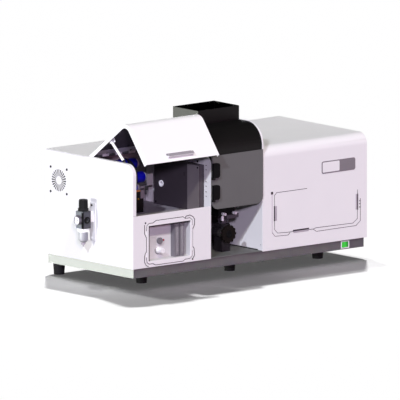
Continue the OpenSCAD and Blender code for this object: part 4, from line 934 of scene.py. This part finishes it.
# regulator: port ring, a black corner strip and a charcoal seat that paint the shade at its front-left
# corner and round the gauge, dial and glass of the gauge, bowl collar, bracket screws
airTrim = {
    "ringR": 11.5, "bossMm": 3, "holeR": 6.1, "cornerShadeX": 4.4, "cornerShadeY": 7.7, "gaugeShadeZ": (-15, 16),
    "dialR": 12.2, "dialIn": 4.6, "glassIn": 0.6, "ticks": 19, "tickFrom": -135, "tickStep": 15,
    "tickR": 11, "tickLong": (3.2, 1.8, 1.8), "collarMm": 12, "screwR": 4, "bracketX": -3,
    "screwIn": (8.3, 8),
}


def makeAirTrim():
    made = airTrim
    x0, y0, _, _, y1, z1 = span("regulator_body")
    gaugeX = span("gauge_case")[0]
    gaugeY, gaugeZ = middle("gauge_case")[1:]
    faceY = y0 + made["bossMm"]
    hole, edge, boss = made["holeR"], made["ringR"], made["bossMm"]
    ring = [(hole, boss), (hole, boss + 0.5), (edge - 0.5, boss + 0.5), (edge, boss), (edge, -0.1),
            (edge - 0.7, -0.1), (edge - 0.7, boss), (hole, boss)]
    place = facing((0, -1, 0), middle("regulator_knob")[0], faceY, gaugeZ)
    turnedPiece("airPortRing", ring, place, 40, "mattAbs")
    bx0, _, _, bx1, _, bowlTop = span("filter_bowl")
    cornerShadeEnd = faceY + made["cornerShadeY"]
    # painted shade: a black strip down the body's front-left corner stands in for the shade on that corner
    barPiece("regulatorCornerShade", (x0 - 0.5, faceY - 0.5, bowlTop + 1.5),
             (x0 + made["cornerShadeX"], cornerShadeEnd, z1 - 2), 1.5, "mattAbs")
    # painted shade: a charcoal plate behind the gauge stands in for the shade round the gauge on the
    # body's left face
    low, high = made["gaugeShadeZ"]
    barPiece("gaugeShadePlate", (x0 - 0.7, cornerShadeEnd + 1, gaugeZ + low), (x0 + 0.3, y1 - 1.5, gaugeZ + high), 0.6,
             "charcoal")
    r, dialX = made["dialR"], gaugeX + made["dialIn"]
    dial = [(0, 0), (r, 0), (r, -0.6), (0, -0.6), (0, 0)]
    place = facing((-1, 0, 0), dialX, gaugeY, gaugeZ)
    turnedPiece("gaugeDial", dial, place, 48, "whiteAbs")
    marks = bmesh.new()
    pivot = Matrix.Translation(at(dialX, gaugeY, gaugeZ))
    top = gaugeZ + made["tickR"]
    for i in range(made["ticks"]):
        tick = bmesh.new()
        low = top - made["tickLong"][i % 3]
        addBar(tick, (dialX - 0.15, gaugeY - 0.3, low), (dialX + 0.1, gaugeY + 0.3, top), 0.05)
        turn = Matrix.Rotation(math.radians(made["tickFrom"] + made["tickStep"] * i), 4, "X")
        absorb(marks, tick, pivot @ turn @ pivot.inverted())
    finishPiece("gaugeMarks", marks, "ink")
    glass = [(0, 0.5), (8, 0.4), (r, 0), (r, -0.5), (0, -0.5)]
    place = facing((-1, 0, 0), gaugeX + made["glassIn"], gaugeY, gaugeZ)
    pane = turnedPiece("gaugeGlass", glass, place, 48, "glass")
    pane.visible_shadow = False  # thin clear glass lets the light through to the dial
    r, deep = (bx1 - bx0) / 2, made["collarMm"]
    collar = [(r + 0.1, -0.2), (r + 1.6, -0.2), (r + 2, -0.8), (r + 2, 1.5 - deep), (r + 1.2, 0.3 - deep),
              (r + 0.1, -deep), (r + 0.1, -0.2)]
    place = facing((0, 0, 1), *middle("filter_bowl")[:2], bowlTop)
    turnedPiece("bowlCollar", collar, place, 48, "whiteAbs")
    _, _, low, _, _, high = span("regulator_bracket")
    screwY, (fromTop, fromLow) = middle("regulator_bracket")[1], made["screwIn"]
    for name, finish, z in (("bracketScrew", "blackScrew", high - fromTop),
                            ("paintedScrew", "white", low + fromLow)):
        place = (made["bracketX"], screwY, z)
        screwPiece(name, (-1, 0, 0), place, made["screwR"], finish)


# burner bay: cap of the handwheel, nylon foot under the clamp, stop rod under the shelf, a charcoal sheet
# with screws on the right wall that paints the shade at the back of the bay, seal at the foot of that
# wall, and steel corner seams in the chimney that also paint the highlight along its inner corners
bayTrim = {
    "capR": 13, "footAt": (438, 57), "footR": 5, "footMm": 20, "rodAt": (457, 54), "rodR": 1.8,
    "rodMm": 15, "shelfMm": 14, "shadeSheetY": (190, 261), "shadeSheetMm": 1.2, "shadeSheetScrewIn": (9, 12),
    "shadeSheetScrewR": 3,
    "darkBeadMm": 4, "sealFrom": 24, "wallScrewAt": (10, 92), "wallScrewR": 1.8,
    "seamMm": 3.2, "seamIn": (4, 0.8), "chimneySheet": 2,
}


def makeBayTrim():
    made = bayTrim
    wheelX, _, wheelZ = jointSpot("handwheel_turn")
    r = made["capR"]
    cap = [(0, 1.2), (0.35 * r, 1.5), (0.5 * r, 2.4), (0.8 * r, 2.4), (0.95 * r, 1.8), (r, 0.6), (r, -0.2),
           (0, -0.2)]
    place = facing((0, -1, 0), wheelX, span("handwheel")[1], wheelZ)
    turnedPiece("handwheelCap", cap, place, 36, "mattAbs", "lift_drive")
    clampLow = span("spray_chamber")[2]
    r, h = made["footR"], made["footMm"]
    foot = [(0, -h), (0.8 * r, -h), (r, 1.2 - h), (r, -2), (0.8 * r, -1.4), (0.8 * r, 0.4), (0, 0.4)]
    place = facing((0, 0, 1), *made["footAt"], clampLow)
    turnedPiece("clampFoot", foot, place, 28, "whiteAbs", "burner")
    r, h = made["rodR"], made["rodMm"]
    rod = [(0, -h), (0.7 * r, -h), (r, 0.6 - h), (r, 0.3), (0, 0.3)]
    place = facing((0, 0, 1), *made["rodAt"], clampLow - made["shelfMm"])
    turnedPiece("shelfStopRod", rod, place, 20, "casting", "burner")
    wallX, deckTop, doorTop = span("right_inner_wall")[0], span("deck_plate")[5], span("flame_door")[5]
    # painted shade: a charcoal sheet with screws on the rear part of the right wall stands in for the
    # shade at the back of the bay
    shadeSheetX, (near, far) = wallX - made["shadeSheetMm"], made["shadeSheetY"]
    shadeSheet = bmesh.new()
    addBar(shadeSheet, (shadeSheetX, near, deckTop + 1), (wallX + 0.2, far, doorTop), 0.4)
    inY, inZ = made["shadeSheetScrewIn"]
    for z in (deckTop + inZ, (deckTop + doorTop) / 2, doorTop - inZ):
        addScrew(shadeSheet, (-1, 0, 0), (shadeSheetX, near + inY, z), made["shadeSheetScrewR"])
    finishPiece("bayShadeSheet", shadeSheet, "charcoal")
    darkBead = [(shadeSheetX, y, deckTop + 1) for y in (made["sealFrom"], far)]
    beadPiece("bayFootSeal", [darkBead], made["darkBeadMm"], "rubber")
    place = (wallX, *made["wallScrewAt"])
    screwPiece("bayWallScrew", (-1, 0, 0), place, made["wallScrewR"], "steel")
    # painted highlight: bare steel seams in the chimney's inner corners also stand in for the light along
    # those corners
    x0, y0, z0, x1, y1, z1 = span("chimney")
    t, (up, down) = made["chimneySheet"], made["seamIn"]
    corners = [(x1 - t, y1 - t), (x0 + t, y1 - t), (x1 - t, y0 + t), (x0 + t, y0 + t)]
    seams = [[(x, y, z0 + up), (x, y, z1 - down)] for x, y in corners]
    beadPiece("chimneySeamHighlights", seams, made["seamMm"], "steel")


# dark pads that fill the slots of the fan grille from behind: painted shade, standing in for the dark
# inside the slots
fanSlotShade = {"slots": 24, "r": (14.1, 36.9), "half": (0.9, 2.5), "x": (0.35, 1.3)}


def makeFanSlotShade():
    made = fanSlotShade
    y, z = middle("fan_frame")[1:]
    pivot = Matrix.Translation(at(0, y, z))
    (r0, r1), (half0, half1) = made["r"], made["half"]
    outline = [(y - half0, z + r0), (y + half0, z + r0), (y + half1, z + r1), (y - half1, z + r1)]
    pads = bmesh.new()
    for i in range(made["slots"]):
        turn = Matrix.Rotation(2 * math.pi * i / made["slots"], 4, "X")
        addSection(pads, outline, *made["x"], 0.1, pivot @ turn @ pivot.inverted())
    finishPiece("fanSlotShadePads", pads, "rubber")


# screws of the fan, the rear panel and the right end panel
panelScrews = {"fanPitch": 82.5, "fanR": 4.2, "rearR": 3.6, "rearIn": 12,
               "rearX": (0.02, 0.34, 0.55, 0.78, 0.98), "endIn": 20, "endUp": 290}


def makePanelScrews():
    made = panelScrews
    _, fanY, fanZ = middle("fan_frame")
    half, inset = made["fanPitch"] / 2, made["rearIn"]
    fan = bmesh.new()
    for y in (fanY - half, fanY + half):
        for z in (fanZ - half, fanZ + half):
            addScrew(fan, (-1, 0, 0), (0, y, z), made["fanR"])
    finishPiece("fanScrews", fan, "knobAbs")
    x0, _, z0, x1, y1, z1 = span("rear_panel")
    rear = bmesh.new()
    for share in made["rearX"]:
        for z in (z0 + inset, z1 - inset):
            addScrew(rear, (0, 1, 0), (x0 + share * (x1 - x0), y1, z), made["rearR"])
    _, y0, z0, x1, y1, _ = span("right_end_panel")
    for y in (y0 + made["endIn"], y1 - inset):
        for z in (z0 + inset, z0 + made["endUp"]):
            addScrew(rear, (1, 0, 0), (x1, y, z), made["rearR"])
    finishPiece("panelScrews", rear, "steel")


# white edge strip over the right end of the hood: painted highlight, standing in for the light along the
# hood's right edge
hoodHighlightEdge = {"wide": 6, "thick": 1.2, "sunk": 0.2, "roundR": 74, "steps": 20}


def makeHoodHighlightEdge():
    made = hoodHighlightEdge
    _, y, z0, x1, y1, z = span("hood")
    x, y, z = x1 - made["wide"], y + made["sunk"], z - made["sunk"]
    radius = made["roundR"] - made["sunk"]
    strip = bmesh.new()
    low, turned = strip.verts.new(at(x, y, z0)), strip.verts.new(at(x, y, z - radius))
    strip.edges.new((low, turned))
    rounded = bmesh.ops.spin(strip, geom=[turned], cent=at(x, y + radius, z - radius), axis=(1, 0, 0),
                             angle=-math.pi / 2, steps=made["steps"])
    level = bmesh.ops.extrude_vert_indiv(strip, verts=pointsIn(rounded["geom_last"]))
    bmesh.ops.translate(strip, vec=(0, (y1 - y - radius) / 1000, 0), verts=level["verts"])
    bmesh.ops.remove_doubles(strip, verts=strip.verts, dist=0.00001)
    across = bmesh.ops.extrude_edge_only(strip, edges=strip.edges[:])["geom"]
    bmesh.ops.translate(strip, vec=(made["wide"] / 1000, 0, 0), verts=pointsIn(across))
    bmesh.ops.recalc_face_normals(strip, faces=strip.faces)
    if strip.faces[0].normal.y > 0:  # the strip gets its thickness outwards, from the hood's face
        bmesh.ops.reverse_faces(strip, faces=strip.faces)
    bmesh.ops.solidify(strip, geom=strip.faces[:], thickness=-made["thick"] / 1000)
    bmesh.ops.recalc_face_normals(strip, faces=strip.faces)
    finishPiece("hoodEdgeHighlight", strip, "white")


placeCamera()
mixFinishes()
paper = placeFloor()
placeFlag()
print("stage ready")
dressNodes()
print("CAD nodes dressed")
makeGasFrame()
makeGasFittings()
print("gas panel fitted")
makeDoorPrint()
makeNamePlate()
print("right housing fitted")
makeLidTrim()
makeStrutTrim()
makeLampTrim()
makeStandTrim()
makeRoomTrim()
print("lamp room fitted")
makeAirTrim()
makeBayTrim()
makeHoodHighlightEdge()
makeFanSlotShade()
makePanelScrews()
print("air filter, bay and panels fitted")
placeLights(paper)
paintRoom()
print("lights placed")
